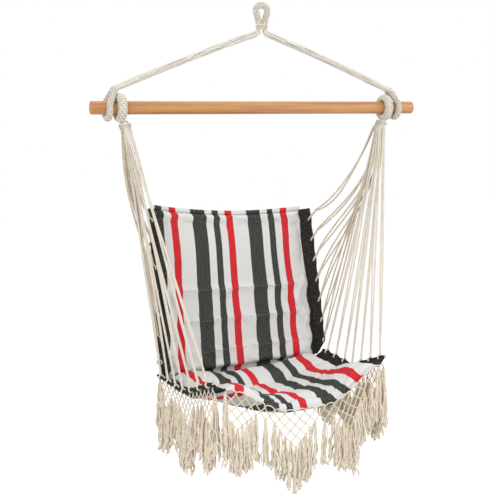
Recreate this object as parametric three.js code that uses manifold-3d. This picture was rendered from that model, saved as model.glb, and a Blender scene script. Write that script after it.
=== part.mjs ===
// Hammock chair: a padded, striped sling seat that hangs by fans of cotton cord from a round
// hardwood bar, which hangs by two rope legs from one served loop.
// Sizes are in millimetres and +Z is up. The origin is where the hook bears, inside the top of
// the hang loop. The sitter looks along -Y, and the bar runs along X.
import * as THREE from 'three';
import { mergeVertices } from 'three/addons/utils/BufferGeometryUtils.js';
import Module from 'manifold-3d';

const wasm = await Module();
wasm.setup();

// Clearances
const gap = 0.3; // between pieces that touch
const overrun = 4; // how far a cutter runs past what it cuts

// Spreader bar
const barLength = 1000;
const barDiameter = 36;
const barDrop = 278; // from the hook down to the bar's axis
const barEasing = 3; // rounding of the sawn ends
const barSides = 24;

// Hang loop, and the seizing at the throat where its rope parts into two legs
const loopRope = 19;
const loopHoleWidth = 18;
const loopHoleHeight = 29;
const loopLegGap = 0.6;
const loopHeight = 44; // from the hook down to the foot of the loop
const loopNeckHeight = 5; // from the hole's foot down to where the two legs lie side by side
const loopSides = 10;
const loopArcSteps = 10;
const throatHeight = 14;
const throatWidth = 37;
const throatDepth = 25;
const throatTaperShare = 0.84;
const barrelSides = 12; // of each seizing

// Rope legs from the throat to the bar, and their eyes round it
const legRope = 19;
const legStrands = 7;
const legFluteShare = 0.16; // depth of the grooves between strands
const legBow = 4;
const legSteps = 6;
const eyeShift = -6.5; // eyes and clews sit a little to the left on the bar
const legEyeSetback = 53; // from the bar's end to the eye
const legEyeRope = 19;
const legEyeRise = 52; // from the bar's axis up to the eye's crown
const legEyeCrownRadius = 10.5;
const legEyeInset = 22.5; // how far inwards of the bar's eye its crown stands
const legEyeSides = 8;
const legEyeRingSteps = 10;
const legEyeCrownSteps = 4;

// Clews: a served ring round the bar, and the seizing that gathers the side cords
const clewSetback = 88; // from the bar's end to the ring
const clewRope = 21;
const clewWidth = 28; // its rope is doubled, so a ring is wider along the bar
const clewSides = 8;
const clewSteps = 20;
const seizingHeight = 20;
const seizingWidth = 30;
const seizingDepth = 44;
const seizingTaperShare = 0.9;
const seizingFootInset = 16; // how far inwards of the ring the seizing's foot is
const seizingHeadInset = 8;
const knotDiameter = 15;
const knotColumns = 10;
const knotRows = 6;

// Sling: the crease where back and seat meet, and the canvas that both hang from
const creaseX = -9;
const creaseY = 120;
const creaseDrop = 794; // from the bar's axis down to the crease
const slingTilt = THREE.MathUtils.degToRad(-2.5); // the left side hangs lower
const canvasThickness = 1.5;
const creaseWidth = 500;

// Back
const backWidth = 476;
const backHeight = 490;
const backLean = THREE.MathUtils.degToRad(8.7);
const backCup = 14; // how far the sides are drawn forwards
const topSag = 15;
const topSlant = 42; // the left edge stands higher than the right
const backCrown = 30;
const backSeamShares = [0.12, 0.31, 0.5]; // where its sewn channels run, up from the crease
const edgeSharpness = 4; // how late the top's sag begins, and how soon the cup is full

// Seat
const frontWidth = 466;
const seatDepth = 458;
const frontBow = 30; // the front edge's middle is ahead of its corners
const seatSag = 48;
const cornerLift = 77; // the front corners are drawn up
const kneeShare = 0.5; // where along the depth the lift starts
const flatShare = 0.25; // half width, from the middle, that stays low
const seatCrown = 34;
const frontRoll = 42;
const frontRollShare = 0.9; // of the crown, where the cushion turns over the front edge
const seatSeamShares = [0.3, 0.58];
const sagPower = 0.75; // under 1 the seat is lowest nearer the crease

// Cushions
const cushionInset = 3; // between a cushion's side and the canvas's edge
const cushionPull = 5; // how far the sides draw in between seams
const cushionEdge = 5;
const cushionSetback = 8; // from the crease
const seamShare = 0.85; // height left at a sewn channel
const crownSquareness = 6; // the higher, the fuller the cushion stays towards its sides

// Hems: a black webbing band folded round an edge rope
const hemWidth = 36;
const hemThickness = 4;
const hemWall = 1.5;
const edgeRope = 5;
const backHemSetback = 24; // from the crease, clear of the seat's hem
const seatHemSetback = 8;
const backHemTurn = THREE.MathUtils.degToRad(46); // turned forwards by the pull of the cords
const seatHemTurn = THREE.MathUtils.degToRad(40);
const hemTaperLength = 30; // over which a hem widens from its end at the crease
const backHemEndShare = 0.5; // of its width there
const seatHemEndShare = 1;
const hemSteps = 6;
const hemArcSteps = 6;
const edgeRopeSides = 6;
const edgeBoreSides = 8;
const bandSides = 8;

// Turned cloth hem on the top edge, and the binding of the front edge
const topHemHeight = 12;
const topHemThickness = 5;
const frontBindingHeight = 8;
const frontBindingThickness = 5;

// Side cords: doubled cotton cord, one pair from the clew to each eyelet of the hem
const cordDiameter = 5;
const cordRowPitch = 2.9; // where they leave the seizing, from one pair to the next along Y
const cordColumnPitch = 11; // and between the two columns that the pairs take in turn
const twinPitch = 5.2; // between the two cords of a pair
const cordsAlongBack = 7;
const cordsAlongSeat = 7;
const cordSides = 4;
const cordSteps = 4;
const cordSlack = 46; // sag of the top cord of the back; the lower ones are tighter
const slackPower = 1.5; // how fast they get tighter
const pairSpread = 4.5; // how far each cord of a pair bows away from the other
const eyeletMarginShare = 0.07; // from a hem's end to its first eyelet
const stemLength = 24;
const stemDiameter = 6;

// Fringe: a knotted net with tassels
const halfCellWidth = 14.7; // of a diamond
const halfCellDrop = 15.6;
const netThickness = 3;
const knotHalf = 3;
const netRowsLeast = 2;
const netRowsMost = 6;
const scallopCells = 12; // half cells from one deep point of the net to the next
const scallopStart = 2; // half cells from the net's left or rear end to the first one
const fringeCorner = 8; // each fringe stops this far short of the front corner
const frontFringeDrop = 0.75; // below what it is sewn to
const sideFringeDrop = 1.5;
const fringeSeatShare = 0.6; // where across the side hem its fringe is sewn
const tasselLength = 124;
const tasselNeck = 6;
const tasselNeckLength = 12;
const tasselWidth = 13;
const tasselDepth = 8;

const barRadius = barDiameter / 2;
const legEyeReach = barLength / 2 - legEyeSetback;
const clewReach = barLength / 2 - clewSetback;
const cordPairs = cordsAlongBack + cordsAlongSeat;
const rightward = new THREE.Vector3(1, 0, 0);
const rearward = new THREE.Vector3(0, 1, 0);

const materials = {
  wood: { color: 0xcd9464, roughness: 0.5, metalness: 0 },
  cotton: { color: 0xe2d8c4, roughness: 0.95, metalness: 0 },
  fringe: { color: 0xdccab0, roughness: 0.95, metalness: 0 },
  cover: { color: 0xdededc, roughness: 0.9, metalness: 0 },
  canvas: { color: 0xd8d6d0, roughness: 0.92, metalness: 0 },
  webbing: { color: 0x2a2b2a, roughness: 0.95, metalness: 0 },
};

function piece(name, geometry, finish) {
  const mesh = new THREE.Mesh(geometry, new THREE.MeshStandardMaterial(materials[finish]));
  mesh.name = name;
  return mesh;
}

// Geometry from points and faces, with the faces turned outwards.
function solidFrom(points, faces) {
  let volume = 0;
  for (const [a, b, c] of faces) {
    volume += points[a].dot(new THREE.Vector3().crossVectors(points[b], points[c]));
  }
  const turned = volume < 0 ? faces.map(([a, b, c]) => [a, c, b]) : faces;
  const geometry = new THREE.BufferGeometry();
  geometry.setFromPoints(points);
  geometry.setIndex(turned.flat());
  return geometry;
}

function toManifold(geometry) {
  const bare = geometry.clone();
  bare.deleteAttribute('normal');
  bare.deleteAttribute('uv');
  const merged = mergeVertices(bare);
  return new wasm.Manifold(new wasm.Mesh({
    numProp: 3,
    vertProperties: new Float32Array(merged.attributes.position.array),
    triVerts: new Uint32Array(merged.index.array),
  }));
}

function fromManifold(solid) {
  const mesh = solid.getMesh();
  const geometry = new THREE.BufferGeometry();
  geometry.setAttribute('position', new THREE.BufferAttribute(mesh.vertProperties, mesh.numProp));
  geometry.setIndex(new THREE.BufferAttribute(mesh.triVerts, 1));
  return geometry;
}

// An outline in two dimensions, carried through a row of frames and closed at both ends,
// or joined end to start. A frame may bring its own outline with as many points.
function loft(outline, frames, closed = false) {
  const points = [];
  for (const { origin, across, upward, scale = 1, section = outline } of frames) {
    for (const { x, y } of section) {
      points.push(origin.clone().addScaledVector(across, x * scale).addScaledVector(upward, y * scale));
    }
  }
  const n = outline.length;
  const faces = [];
  const rows = closed ? frames.length : frames.length - 1;
  for (let row = 0; row < rows; row++) {
    const here = row * n;
    const next = ((row + 1) % frames.length) * n;
    for (let i = 0; i < n; i++) {
      const j = (i + 1) % n;
      faces.push([here + i, here + j, next + j], [here + i, next + j, next + i]);
    }
  }
  if (!closed) {
    const far = (frames.length - 1) * n;
    for (const [a, b, c] of THREE.ShapeUtils.triangulateShape(outline, [])) {
      faces.push([a, c, b], [far + a, far + b, far + c]);
    }
  }
  return solidFrom(points, faces);
}

function circle(radius, sides) {
  return Array.from({ length: sides }, (_, i) => {
    const angle = (2 * Math.PI * (i + 0.5)) / sides;
    return new THREE.Vector2(radius * Math.cos(angle), radius * Math.sin(angle));
  });
}

// Frames along a row of points, with the outline's second axis kept near one fixed direction.
function framesThrough(points, reference, closed = false, scaleAt = () => 1) {
  const count = points.length;
  return points.map((origin, i) => {
    const before = points[closed ? (i + count - 1) % count : Math.max(i - 1, 0)];
    const after = points[closed ? (i + 1) % count : Math.min(i + 1, count - 1)];
    const tangent = after.clone().sub(before).normalize();
    const upward = reference.clone().addScaledVector(tangent, -reference.dot(tangent)).normalize();
    const across = new THREE.Vector3().crossVectors(upward, tangent);
    return { origin, across, upward, scale: scaleAt(i, count) };
  });
}

// A closed solid between two grids of points of the same size.
function slab(front, rear) {
  const rows = front.length;
  const columns = front[0].length;
  const points = [...front.flat(), ...rear.flat()];
  const half = rows * columns;
  const faces = [];
  const quad = (a, b, c, d) => faces.push([a, b, c], [a, c, d]);
  for (let r = 0; r < rows - 1; r++) {
    for (let c = 0; c < columns - 1; c++) {
      const a = r * columns + c;
      quad(a, a + 1, a + columns + 1, a + columns);
      quad(half + a, half + a + columns, half + a + columns + 1, half + a + 1);
    }
    const left = r * columns;
    const right = left + columns - 1;
    quad(left, left + columns, half + left + columns, half + left);
    quad(right + columns, right, half + right, half + right + columns);
  }
  for (let c = 0; c < columns - 1; c++) {
    const last = (rows - 1) * columns + c;
    quad(c + 1, c, half + c, half + c + 1);
    quad(last, last + 1, half + last + 1, half + last);
  }
  return solidFrom(points, faces);
}

// Spreader bar: a turned rod with eased ends
function spreaderBar() {
  const profile = [
    new THREE.Vector2(0, -barLength / 2),
    new THREE.Vector2(barRadius - barEasing, -barLength / 2),
    new THREE.Vector2(barRadius, -barLength / 2 + barEasing),
    new THREE.Vector2(barRadius, barLength / 2 - barEasing),
    new THREE.Vector2(barRadius - barEasing, barLength / 2),
    new THREE.Vector2(0, barLength / 2),
  ];
  const bar = piece('spreader_bar', new THREE.LatheGeometry(profile, barSides), 'wood');
  bar.rotation.z = -Math.PI / 2;
  return bar;
}

// The rope's end is a dome: the share of the full radius at each ring of it.
const domeShares = [0.35, 0.7, 0.92, 1];

function domeOffset(share, radius) {
  return radius * (1 - Math.sqrt(1 - share * share));
}

// Hang loop: a round eye over two legs that run down side by side
function hangLoopPoints() {
  const eyeRadius = (loopHoleWidth + loopRope) / 2;
  const eyeCentre = -loopHoleWidth / 2;
  const legX = (loopRope + loopLegGap) / 2;
  const leg = [];
  for (const share of domeShares) {
    leg.push([legX, -loopHeight + domeOffset(share, loopRope / 2)]);
  }
  leg.push([legX, -loopHoleHeight - loopNeckHeight]);
  leg.push([(legX + eyeRadius) / 2, (eyeCentre - loopHoleHeight) / 2]);
  const arc = [];
  for (let i = 0; i <= loopArcSteps; i++) {
    const angle = (Math.PI * i) / loopArcSteps;
    arc.push([eyeRadius * Math.cos(angle), eyeCentre + eyeRadius * Math.sin(angle)]);
  }
  const mirrored = leg.map(([x, z]) => [-x, z]).reverse();
  return [...leg, ...arc, ...mirrored].map(([x, z]) => new THREE.Vector3(x, 0, z));
}

function hangLoop() {
  const scaleAt = (i, count) => domeShares[Math.min(i, count - 1 - i)] ?? 1;
  const frames = framesThrough(hangLoopPoints(), rearward, false, scaleAt);
  return piece('hang_loop', loft(circle(loopRope / 2, loopSides), frames), 'cotton');
}

// A barrel-shaped lashing: round turns of cord, drawn in at both ends
function barrel(width, depth, foot, head, taperShare) {
  const outline = circle(1 / 2, barrelSides).map(({ x, y }) => new THREE.Vector2(x * width, y * depth));
  const scales = [taperShare, 1, 1, taperShare];
  const frames = scales.map((scale, i) => ({
    origin: foot.clone().lerp(head, i / (scales.length - 1)),
    across: rightward,
    upward: rearward,
    scale,
  }));
  return loft(outline, frames);
}

// Throat seizing: binds the loop's foot, and the rope parts into two legs under it
function throatSeizing() {
  const head = new THREE.Vector3(0, 0, -loopHeight - gap);
  const foot = new THREE.Vector3(0, 0, head.z - throatHeight);
  const body = barrel(throatWidth, throatDepth, foot, head, throatTaperShare);
  return piece('throat_seizing', body, 'cotton');
}

// The crown of a rope leg's eye, where the leg ends
function legEyeCrown(side) {
  return new THREE.Vector3(side * (legEyeReach - legEyeInset) + eyeShift, 0, legEyeRise);
}

// Rope leg: a bundle of laid strands from the throat of the loop to its eye on the bar. Its upper
// end is round, and the leg swings on the middle of that round.
function ropeLeg(side) {
  const radius = legRope / 2;
  const top = barDrop - loopHeight - throatHeight - 2 * gap;
  const start = new THREE.Vector3(side * (radius + gap / 2), 0, top - radius);
  const crown = legEyeCrown(side);
  const direction = crown.clone().sub(start).normalize();
  const end = crown.clone().addScaledVector(direction, -(legEyeRope / 2 + gap));
  const points = domeShares.map((share) => (
    start.clone().addScaledVector(direction, domeOffset(share, radius) - radius)));
  for (let i = 1; i <= legSteps; i++) {
    const t = i / legSteps;
    const at = start.clone().lerp(end, t);
    at.z += legBow * sag(t);
    points.push(at);
  }
  const strandPoints = 2;
  const sides = legStrands * strandPoints;
  const fluted = circle(radius, sides).map((point, i) => (
    point.multiplyScalar(i % strandPoints ? 1 - legFluteShare : 1)));
  const frames = framesThrough(points, rearward, false, (i) => domeShares[i] ?? 1);
  return piece(`rope_leg_${sideName(side)}`, loft(fluted, frames), 'cotton');
}

function sideName(side) {
  return side < 0 ? 'left' : 'right';
}

// A parabola that is 0 at both ends of a span and 1 in its middle
function sag(t) {
  return 4 * t * (1 - t);
}

// 0 at both ends of a span and 1 at two thirds of it
function bow(t) {
  return (27 / 4) * t * t * (1 - t);
}

// Eye of a rope leg: a served ring round the bar, drawn up to a crown. Above the bar it leans
// inwards, more and more.
function legEye(side) {
  const round = legEyeRope / 2 + (barRadius + gap) / Math.cos(Math.PI / legEyeRingSteps / 2);
  const spacing = legEyeRise - legEyeCrownRadius;
  const tangentAngle = Math.asin((round - legEyeCrownRadius) / spacing);
  const outline = [];
  for (let i = 0; i <= legEyeRingSteps; i++) {
    const angle = Math.PI - tangentAngle + ((Math.PI + 2 * tangentAngle) * i) / legEyeRingSteps;
    outline.push([round * Math.cos(angle), round * Math.sin(angle)]);
  }
  for (let i = 0; i <= legEyeCrownSteps; i++) {
    const angle = tangentAngle + ((Math.PI - 2 * tangentAngle) * i) / legEyeCrownSteps;
    const y = legEyeCrownRadius * Math.cos(angle);
    outline.push([y, spacing + legEyeCrownRadius * Math.sin(angle)]);
  }
  const points = outline.map(([y, z]) => {
    const x = side * (legEyeReach - legEyeInset * (Math.max(z, 0) / legEyeRise) ** 2) + eyeShift;
    return new THREE.Vector3(x, y, z);
  });
  const frames = framesThrough(points, rightward, true);
  const ring = loft(circle(legEyeRope / 2, legEyeSides), frames, true);
  return piece(`leg_eye_${sideName(side)}`, ring, 'cotton');
}

// Where a clew's ring sits on the bar
function clewCentre(side) {
  return new THREE.Vector3(side * clewReach + eyeShift, 0, 0);
}

const clewRadius = clewRope / 2 + (barRadius + gap) / Math.cos(Math.PI / clewSteps);

function clewRing(side) {
  const torus = new THREE.TorusGeometry(clewRadius, clewRope / 2, clewSides, clewSteps);
  torus.scale(1, 1, clewWidth / clewRope);
  const ring = piece(`clew_ring_${sideName(side)}`, torus, 'cotton');
  ring.rotation.y = Math.PI / 2;
  ring.position.copy(clewCentre(side));
  return ring;
}

// The middle of a seizing's foot, where the side cords come out
function seizingFoot(side) {
  const foot = clewCentre(side);
  foot.x -= side * seizingFootInset;
  foot.z -= clewRadius + clewRope / 2 + gap + seizingHeight;
  return foot;
}

// Clew seizing: the lashing that gathers the side cords under the ring, with its knot
function clewSeizing(side) {
  const foot = seizingFoot(side);
  const head = foot.clone();
  head.x += side * (seizingFootInset - seizingHeadInset);
  head.z += seizingHeight;
  const knot = new THREE.SphereGeometry(knotDiameter / 2, knotColumns, knotRows);
  const place = foot.clone().lerp(head, 1 / 2);
  place.x -= (side * seizingWidth) / 2;
  knot.translate(place.x, place.y, place.z);
  const body = barrel(seizingWidth, seizingDepth, foot, head, seizingTaperShare);
  const joined = toManifold(body).add(toManifold(knot));
  return piece(`clew_seizing_${sideName(side)}`, fromManifold(joined), 'cotton');
}

// The canvas in the frames of the back and of the seat, whose origin is the middle of the crease.
// `along` runs from the crease to the top of the back or to the front of the seat, 0 to 1, and
// `across` from the left edge to the right, -1 to 1. The back stands upright in its own frame.
function backCanvas(across, along) {
  const halfWidth = THREE.MathUtils.lerp(creaseWidth, backWidth, along) / 2;
  const cup = backCup * across * across * (1 - (1 - along) ** edgeSharpness);
  const sag = topSag * (1 - across * across) * along ** edgeSharpness;
  const slant = (topSlant / 2) * across * along;
  return new THREE.Vector3(across * halfWidth, -cup, backHeight * along - sag - slant);
}

function seatCanvas(across, along) {
  const halfWidth = THREE.MathUtils.lerp(creaseWidth, frontWidth, along) / 2;
  const edgeShare = THREE.MathUtils.smoothstep(Math.abs(across), flatShare, 1);
  const low = -seatSag * Math.sin(Math.PI * along ** sagPower);
  const lift = cornerLift * Math.max(0, (along - kneeShare) / (1 - kneeShare));
  const y = -(seatDepth - frontBow * across * across) * along;
  return new THREE.Vector3(across * halfWidth, y, THREE.MathUtils.lerp(low, lift, edgeShare));
}

// The canvas's own directions at a place: along it, across it, and out towards the sitter
function canvasFrame(surface, across, along) {
  const stepShare = 0.01;
  const near = Math.max(along, 2 * stepShare);
  const ahead = surface(across, near + stepShare).sub(surface(across, near - stepShare)).normalize();
  const sideways = surface(across + stepShare, near).sub(surface(across - stepShare, near));
  const out = new THREE.Vector3().crossVectors(sideways, ahead).normalize();
  if (out.y - out.z > 0) out.negate();
  const outward = new THREE.Vector3().crossVectors(out, ahead).normalize();
  if (outward.x * across < 0) outward.negate();
  return { ahead, out, outward };
}

function offCanvas(surface, across, along, distance) {
  return surface(across, along).addScaledVector(canvasFrame(surface, across, along).out, distance);
}

// Rows of a cushion between its seams, each seam given as where along it and the share of the
// crown's height left there
const panelShares = [0, 0.12, 0.5, 0.88];
const columnShares = [-1, -0.97, -0.85, -0.5, 0, 0.5, 0.85, 0.97, 1];

function cushionRows({ seams, length }) {
  const setbackShare = cushionSetback / length;
  const rows = [];
  for (let i = 0; i < seams.length - 1; i++) {
    const [from, fromHeight] = seams[i];
    const [to, toHeight] = seams[i + 1];
    for (const share of panelShares) {
      rows.push({ along: THREE.MathUtils.lerp(from, to, share), share, fromHeight, toHeight });
    }
  }
  rows.push({ along: 1, share: 1, fromHeight: 0, toHeight: 0 });
  return rows.map((row) => ({ ...row, along: setbackShare + (1 - setbackShare) * row.along }));
}

// The share of the canvas's width that the cushion covers, least midway between two seams
function drawnIn({ share }) {
  return 1 - (2 * (cushionInset + cushionPull * Math.sin(Math.PI * share))) / creaseWidth;
}

// Cushion: crowned between its seams, thin at its edges, and drawn in at its sides
function cushion(panel) {
  const { name, surface, crown } = panel;
  const rows = cushionRows(panel);
  const grid = (heightAt) => rows.map((row) => columnShares.map((column) => (
    offCanvas(surface, column * drawnIn(row), row.along, heightAt(row, column)))));
  const top = grid((row, column) => {
    const base = THREE.MathUtils.lerp(row.fromHeight, row.toHeight, row.share);
    const swell = base + (1 - base) * Math.sqrt(Math.sin(Math.PI * row.share));
    return gap + cushionEdge + (crown - cushionEdge) * swell * Math.sqrt(1 - column ** crownSquareness);
  });
  return piece(`${name}_cushion`, slab(top, grid(() => gap)), 'cover');
}

// Canvas: the sheet behind the back or under the seat
function canvas(panel) {
  const { name, surface, length } = panel;
  const rows = cushionRows(panel);
  rows.unshift({ ...rows[0], along: gap / length });
  const grid = (distance) => rows.map((row) => {
    const columns = [-1, ...columnShares.map((column) => column * drawnIn(row)), 1];
    return columns.map((column) => offCanvas(surface, column, row.along, distance));
  });
  return piece(`${name}_canvas`, slab(grid(0), grid(-canvasThickness)), 'canvas');
}

const hemRound = edgeRope / 2 + gap + hemWall;

function sewn(share) {
  return [share, seamShare];
}

// The two panels of the sling, each with its surface, its length and how its side hems sit
const backPanel = {
  name: 'back',
  surface: backCanvas,
  length: backHeight,
  hemTurn: backHemTurn,
  hemSetback: backHemSetback,
  hemEndShare: backHemEndShare,
  seams: [[0, 0], ...backSeamShares.map(sewn), [1, 0]],
  crown: backCrown,
};
const seatPanel = {
  name: 'seat',
  surface: seatCanvas,
  length: seatDepth,
  hemTurn: seatHemTurn,
  hemSetback: seatHemSetback,
  hemEndShare: seatHemEndShare,
  seams: [[0, 0], ...seatSeamShares.map(sewn), [1 - frontRoll / seatDepth, frontRollShare], [1, 0]],
  crown: seatCrown,
};

// A hem's frames along one edge of the canvas, from its root outwards. The back's hem is narrow
// at its lower end, where it passes behind the seat's.
function hemFrames(panel, side, extra = 0) {
  const { surface, length, hemTurn: turn, hemSetback, hemEndShare } = panel;
  const hemLength = length - hemSetback;
  const shares = Array.from({ length: hemSteps + 1 }, (_, i) => i / hemSteps);
  shares.splice(1, 0, hemTaperLength / hemLength);
  return shares.map((share) => {
    const along = THREE.MathUtils.lerp(hemSetback / length, 1, share);
    const { ahead, out, outward } = canvasFrame(surface, side, along);
    const across = outward.clone().multiplyScalar(Math.cos(turn)).addScaledVector(out, Math.sin(turn));
    const upward = out.clone().multiplyScalar(Math.cos(turn)).addScaledVector(outward, -Math.sin(turn));
    const origin = surface(side, along).addScaledVector(outward, gap + hemThickness / 2);
    const beyond = share === 0 ? -extra : share === 1 ? extra : 0;
    origin.addScaledVector(ahead, beyond);
    const widened = Math.min((hemLength * share + beyond) / hemTaperLength, 1);
    const ropeAt = hemWidth * THREE.MathUtils.lerp(hemEndShare, 1, widened) - hemRound;
    return { origin, across, upward, share, ropeAt };
  });
}

function hemOutline(ropeAt) {
  const points = [new THREE.Vector2(0, -hemThickness / 2)];
  const open = Math.asin(hemThickness / 2 / hemRound);
  for (let i = 0; i <= hemArcSteps; i++) {
    const angle = -Math.PI + open + ((2 * Math.PI - 2 * open) * i) / hemArcSteps;
    points.push(new THREE.Vector2(ropeAt + hemRound * Math.cos(angle), hemRound * Math.sin(angle)));
  }
  points.push(new THREE.Vector2(0, hemThickness / 2));
  return points;
}

function alongHem(panel, side, extra, outlineAt) {
  const bare = hemFrames(panel, side, extra);
  const frames = bare.map((frame) => ({ ...frame, section: outlineAt(frame.ropeAt) }));
  return loft(frames.at(-1).section, frames);
}

function alongEdgeRope(panel, side, extra, radius, sides) {
  const outlineAt = (ropeAt) => circle(radius, sides).map(({ x, y }) => new THREE.Vector2(x + ropeAt, y));
  return alongHem(panel, side, extra, outlineAt);
}

function hem(panel, side) {
  const band = toManifold(alongHem(panel, side, 0, hemOutline));
  const boreRadius = (edgeRope / 2 + gap) / Math.cos(Math.PI / edgeBoreSides);
  const bore = toManifold(alongEdgeRope(panel, side, overrun, boreRadius, edgeBoreSides));
  return piece(`${panel.name}_hem_${sideName(side)}`, fromManifold(band.subtract(bore)), 'webbing');
}

function hemRope(panel, side) {
  const rope = alongEdgeRope(panel, side, overrun / 2, edgeRope / 2, edgeRopeSides);
  return piece(`${panel.name}_edge_rope_${sideName(side)}`, rope, 'cotton');
}

// A band laid along the end of the canvas, from edge to edge
function bandFrames(surface, height, thickness) {
  return columnShares.map((column) => {
    const { ahead, out } = canvasFrame(surface, column, 1);
    const origin = surface(column, 1).addScaledVector(ahead, gap + height / 2);
    origin.addScaledVector(out, thickness / 2 - canvasThickness);
    return { origin, across: ahead, upward: out };
  });
}

function endBand(name, surface, height, thickness, finish) {
  const flatToFlat = circle(1 / 2 / Math.cos(Math.PI / bandSides), bandSides);
  const outline = flatToFlat.map(({ x, y }) => new THREE.Vector2(x * height, y * thickness));
  return piece(name, loft(outline, bandFrames(surface, height, thickness)), finish);
}

// Down, as seen in the sling's tilted frame
const slingDown = new THREE.Vector3(0, 0, -1).applyAxisAngle(rearward, -slingTilt);

// How many rows of knots the net has at a place along it, given in half cells: it hangs in
// points, and narrows to each of them by half a cell on both sides with every row
function netRowsAt(half) {
  const past = THREE.MathUtils.euclideanModulo(half - scallopStart, scallopCells);
  return Math.max(netRowsLeast, netRowsMost - Math.min(past, scallopCells - past));
}

// Fringe: diamonds of knotted cord, deeper and shallower in turn, with a tassel at each lowest knot
function netKnots(length) {
  const knots = new Map();
  const halfCells = Math.floor(length / halfCellWidth);
  const margin = (length - halfCells * halfCellWidth) / 2;
  for (let row = 0; row <= netRowsMost; row++) {
    for (let half = row % 2; half <= halfCells; half += 2) {
      const above = [half - 1, half + 1].some((near) => knots.has(`${near},${row - 1}`));
      if (row > netRowsAt(half) || (row > 0 && !above)) continue;
      const at = margin + half * halfCellWidth;
      knots.set(`${half},${row}`, { half, row, at, drop: row * halfCellDrop });
    }
  }
  return knots;
}

function fringe(name, edge, thicknessWay) {
  const length = edge.getLength();
  const knots = netKnots(length);
  const points = [];
  const faces = [];
  const quad = (a, b, c, d) => faces.push([a, b, c], [a, c, d]);
  const add = (at, drop, depth) => {
    const point = edge.getPointAt(THREE.MathUtils.clamp(at / length, 0, 1));
    point.addScaledVector(slingDown, gap + knotHalf + drop);
    return points.push(point.addScaledVector(thicknessWay, depth)) - 1;
  };
  const corners = { north: [0, -1], east: [1, 0], south: [0, 1], west: [-1, 0] };
  for (const knot of knots.values()) {
    for (const [corner, [sideways, down]] of Object.entries(corners)) {
      const at = knot.at + sideways * knotHalf;
      const drop = knot.drop + down * knotHalf;
      knot[corner] = [add(at, drop, -netThickness / 2), add(at, drop, netThickness / 2)];
      knot[corner].sideways = sideways * knotHalf;
    }
    const { north, east, south, west } = knot;
    quad(north[0], east[0], south[0], west[0]);
    quad(north[1], west[1], south[1], east[1]);
  }
  const wall = (from, to) => quad(from[0], to[0], to[1], from[1]);
  const strand = (a, b, c, d) => {
    quad(a[0], b[0], c[0], d[0]);
    quad(d[1], c[1], b[1], a[1]);
    wall(c, b);
    wall(a, d);
  };
  for (const knot of knots.values()) {
    const { half, row, north, east, south, west } = knot;
    const lowerRight = knots.get(`${half + 1},${row + 1}`);
    const lowerLeft = knots.get(`${half - 1},${row + 1}`);
    if (!knots.has(`${half + 1},${row - 1}`)) wall(east, north);
    if (!knots.has(`${half - 1},${row - 1}`)) wall(north, west);
    if (lowerRight) strand(south, east, lowerRight.north, lowerRight.west);
    if (lowerLeft) strand(west, south, lowerLeft.east, lowerLeft.north);
    const free = [east, south, west].slice(lowerRight ? 1 : 0, lowerLeft ? 2 : 3);
    if (free.length > 1) tassel(knot, free, add, faces);
  }
  return piece(name, solidFrom(points, faces), 'fringe');
}

// A tassel grows from the free part of a knot's lower edge: bound at its neck, then wider to its end.
function tassel(knot, free, add, faces) {
  const half = free.length;
  const at = knot.at + free.reduce((sum, corner) => sum + corner.sideways, 0) / half;
  const rings = [[...free.map((corner) => corner[0]), ...free.map((corner) => corner[1]).reverse()]];
  const levels = [[tasselNeckLength, tasselNeck, tasselNeck], [tasselLength, tasselWidth, tasselDepth]];
  for (const [below, width, depth] of levels) {
    rings.push(rings[0].map((_, i) => {
      const step = (2 * (i % half)) / (half - 1);
      const sideways = i < half ? 1 - step : step - 1;
      return add(at + (sideways * width) / 2, knot.drop + below, ((i < half ? -1 : 1) * depth) / 2);
    }));
  }
  for (let i = 0; i < rings.length - 1; i++) {
    const [upper, lower] = [rings[i], rings[i + 1]];
    upper.forEach((_, j) => {
      const k = (j + 1) % upper.length;
      faces.push([upper[j], lower[j], lower[k]], [upper[j], lower[k], upper[k]]);
    });
  }
  const end = rings.at(-1);
  for (let i = 1; i < end.length - 1; i++) faces.push([end[0], end[i + 1], end[i]]);
}

function polyline(points) {
  const path = new THREE.CurvePath();
  for (let i = 1; i < points.length; i++) path.add(new THREE.LineCurve3(points[i - 1], points[i]));
  return path;
}

function frontFringe() {
  const frames = bandFrames(seatCanvas, frontBindingHeight, frontBindingThickness).slice(1, -1);
  const roots = frames.map(({ origin, upward }) => {
    origin.addScaledVector(upward, -frontBindingThickness / 2);
    return origin.addScaledVector(slingDown, frontFringeDrop);
  });
  return fringe('front_fringe', polyline(roots), rearward);
}

function sideFringe(side) {
  const roots = hemFrames(seatPanel, side).map(({ origin, across, upward }) => {
    origin.addScaledVector(across, hemWidth * fringeSeatShare);
    origin.addScaledVector(upward, -hemThickness / 2);
    return origin.addScaledVector(slingDown, sideFringeDrop);
  });
  roots.at(-1).lerp(roots.at(-2), fringeCorner / seatDepth);
  return fringe(`fringe_${sideName(side)}`, polyline(roots), rightward);
}

// Back: stands on the crease and leans back from it
function back() {
  const group = new THREE.Group();
  group.rotation.x = -backLean;
  group.add(
    cushion(backPanel),
    canvas(backPanel),
    endBand('top_hem', backCanvas, topHemHeight, topHemThickness, 'cover'),
  );
  for (const side of [-1, 1]) group.add(hem(backPanel, side), hemRope(backPanel, side));
  return group;
}

function seat() {
  const group = new THREE.Group();
  group.add(
    cushion(seatPanel),
    canvas(seatPanel),
    endBand('front_binding', seatCanvas, frontBindingHeight, frontBindingThickness, 'cover'),
    frontFringe(),
  );
  for (const side of [-1, 1]) {
    group.add(hem(seatPanel, side), hemRope(seatPanel, side), sideFringe(side));
  }
  return group;
}

// Eyelets: where along its hem each pair of cords is fixed, from the hem's start to its end
function eyeletShare(index, count) {
  return THREE.MathUtils.lerp(eyeletMarginShare, 1 - eyeletMarginShare, index / (count - 1));
}

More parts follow.
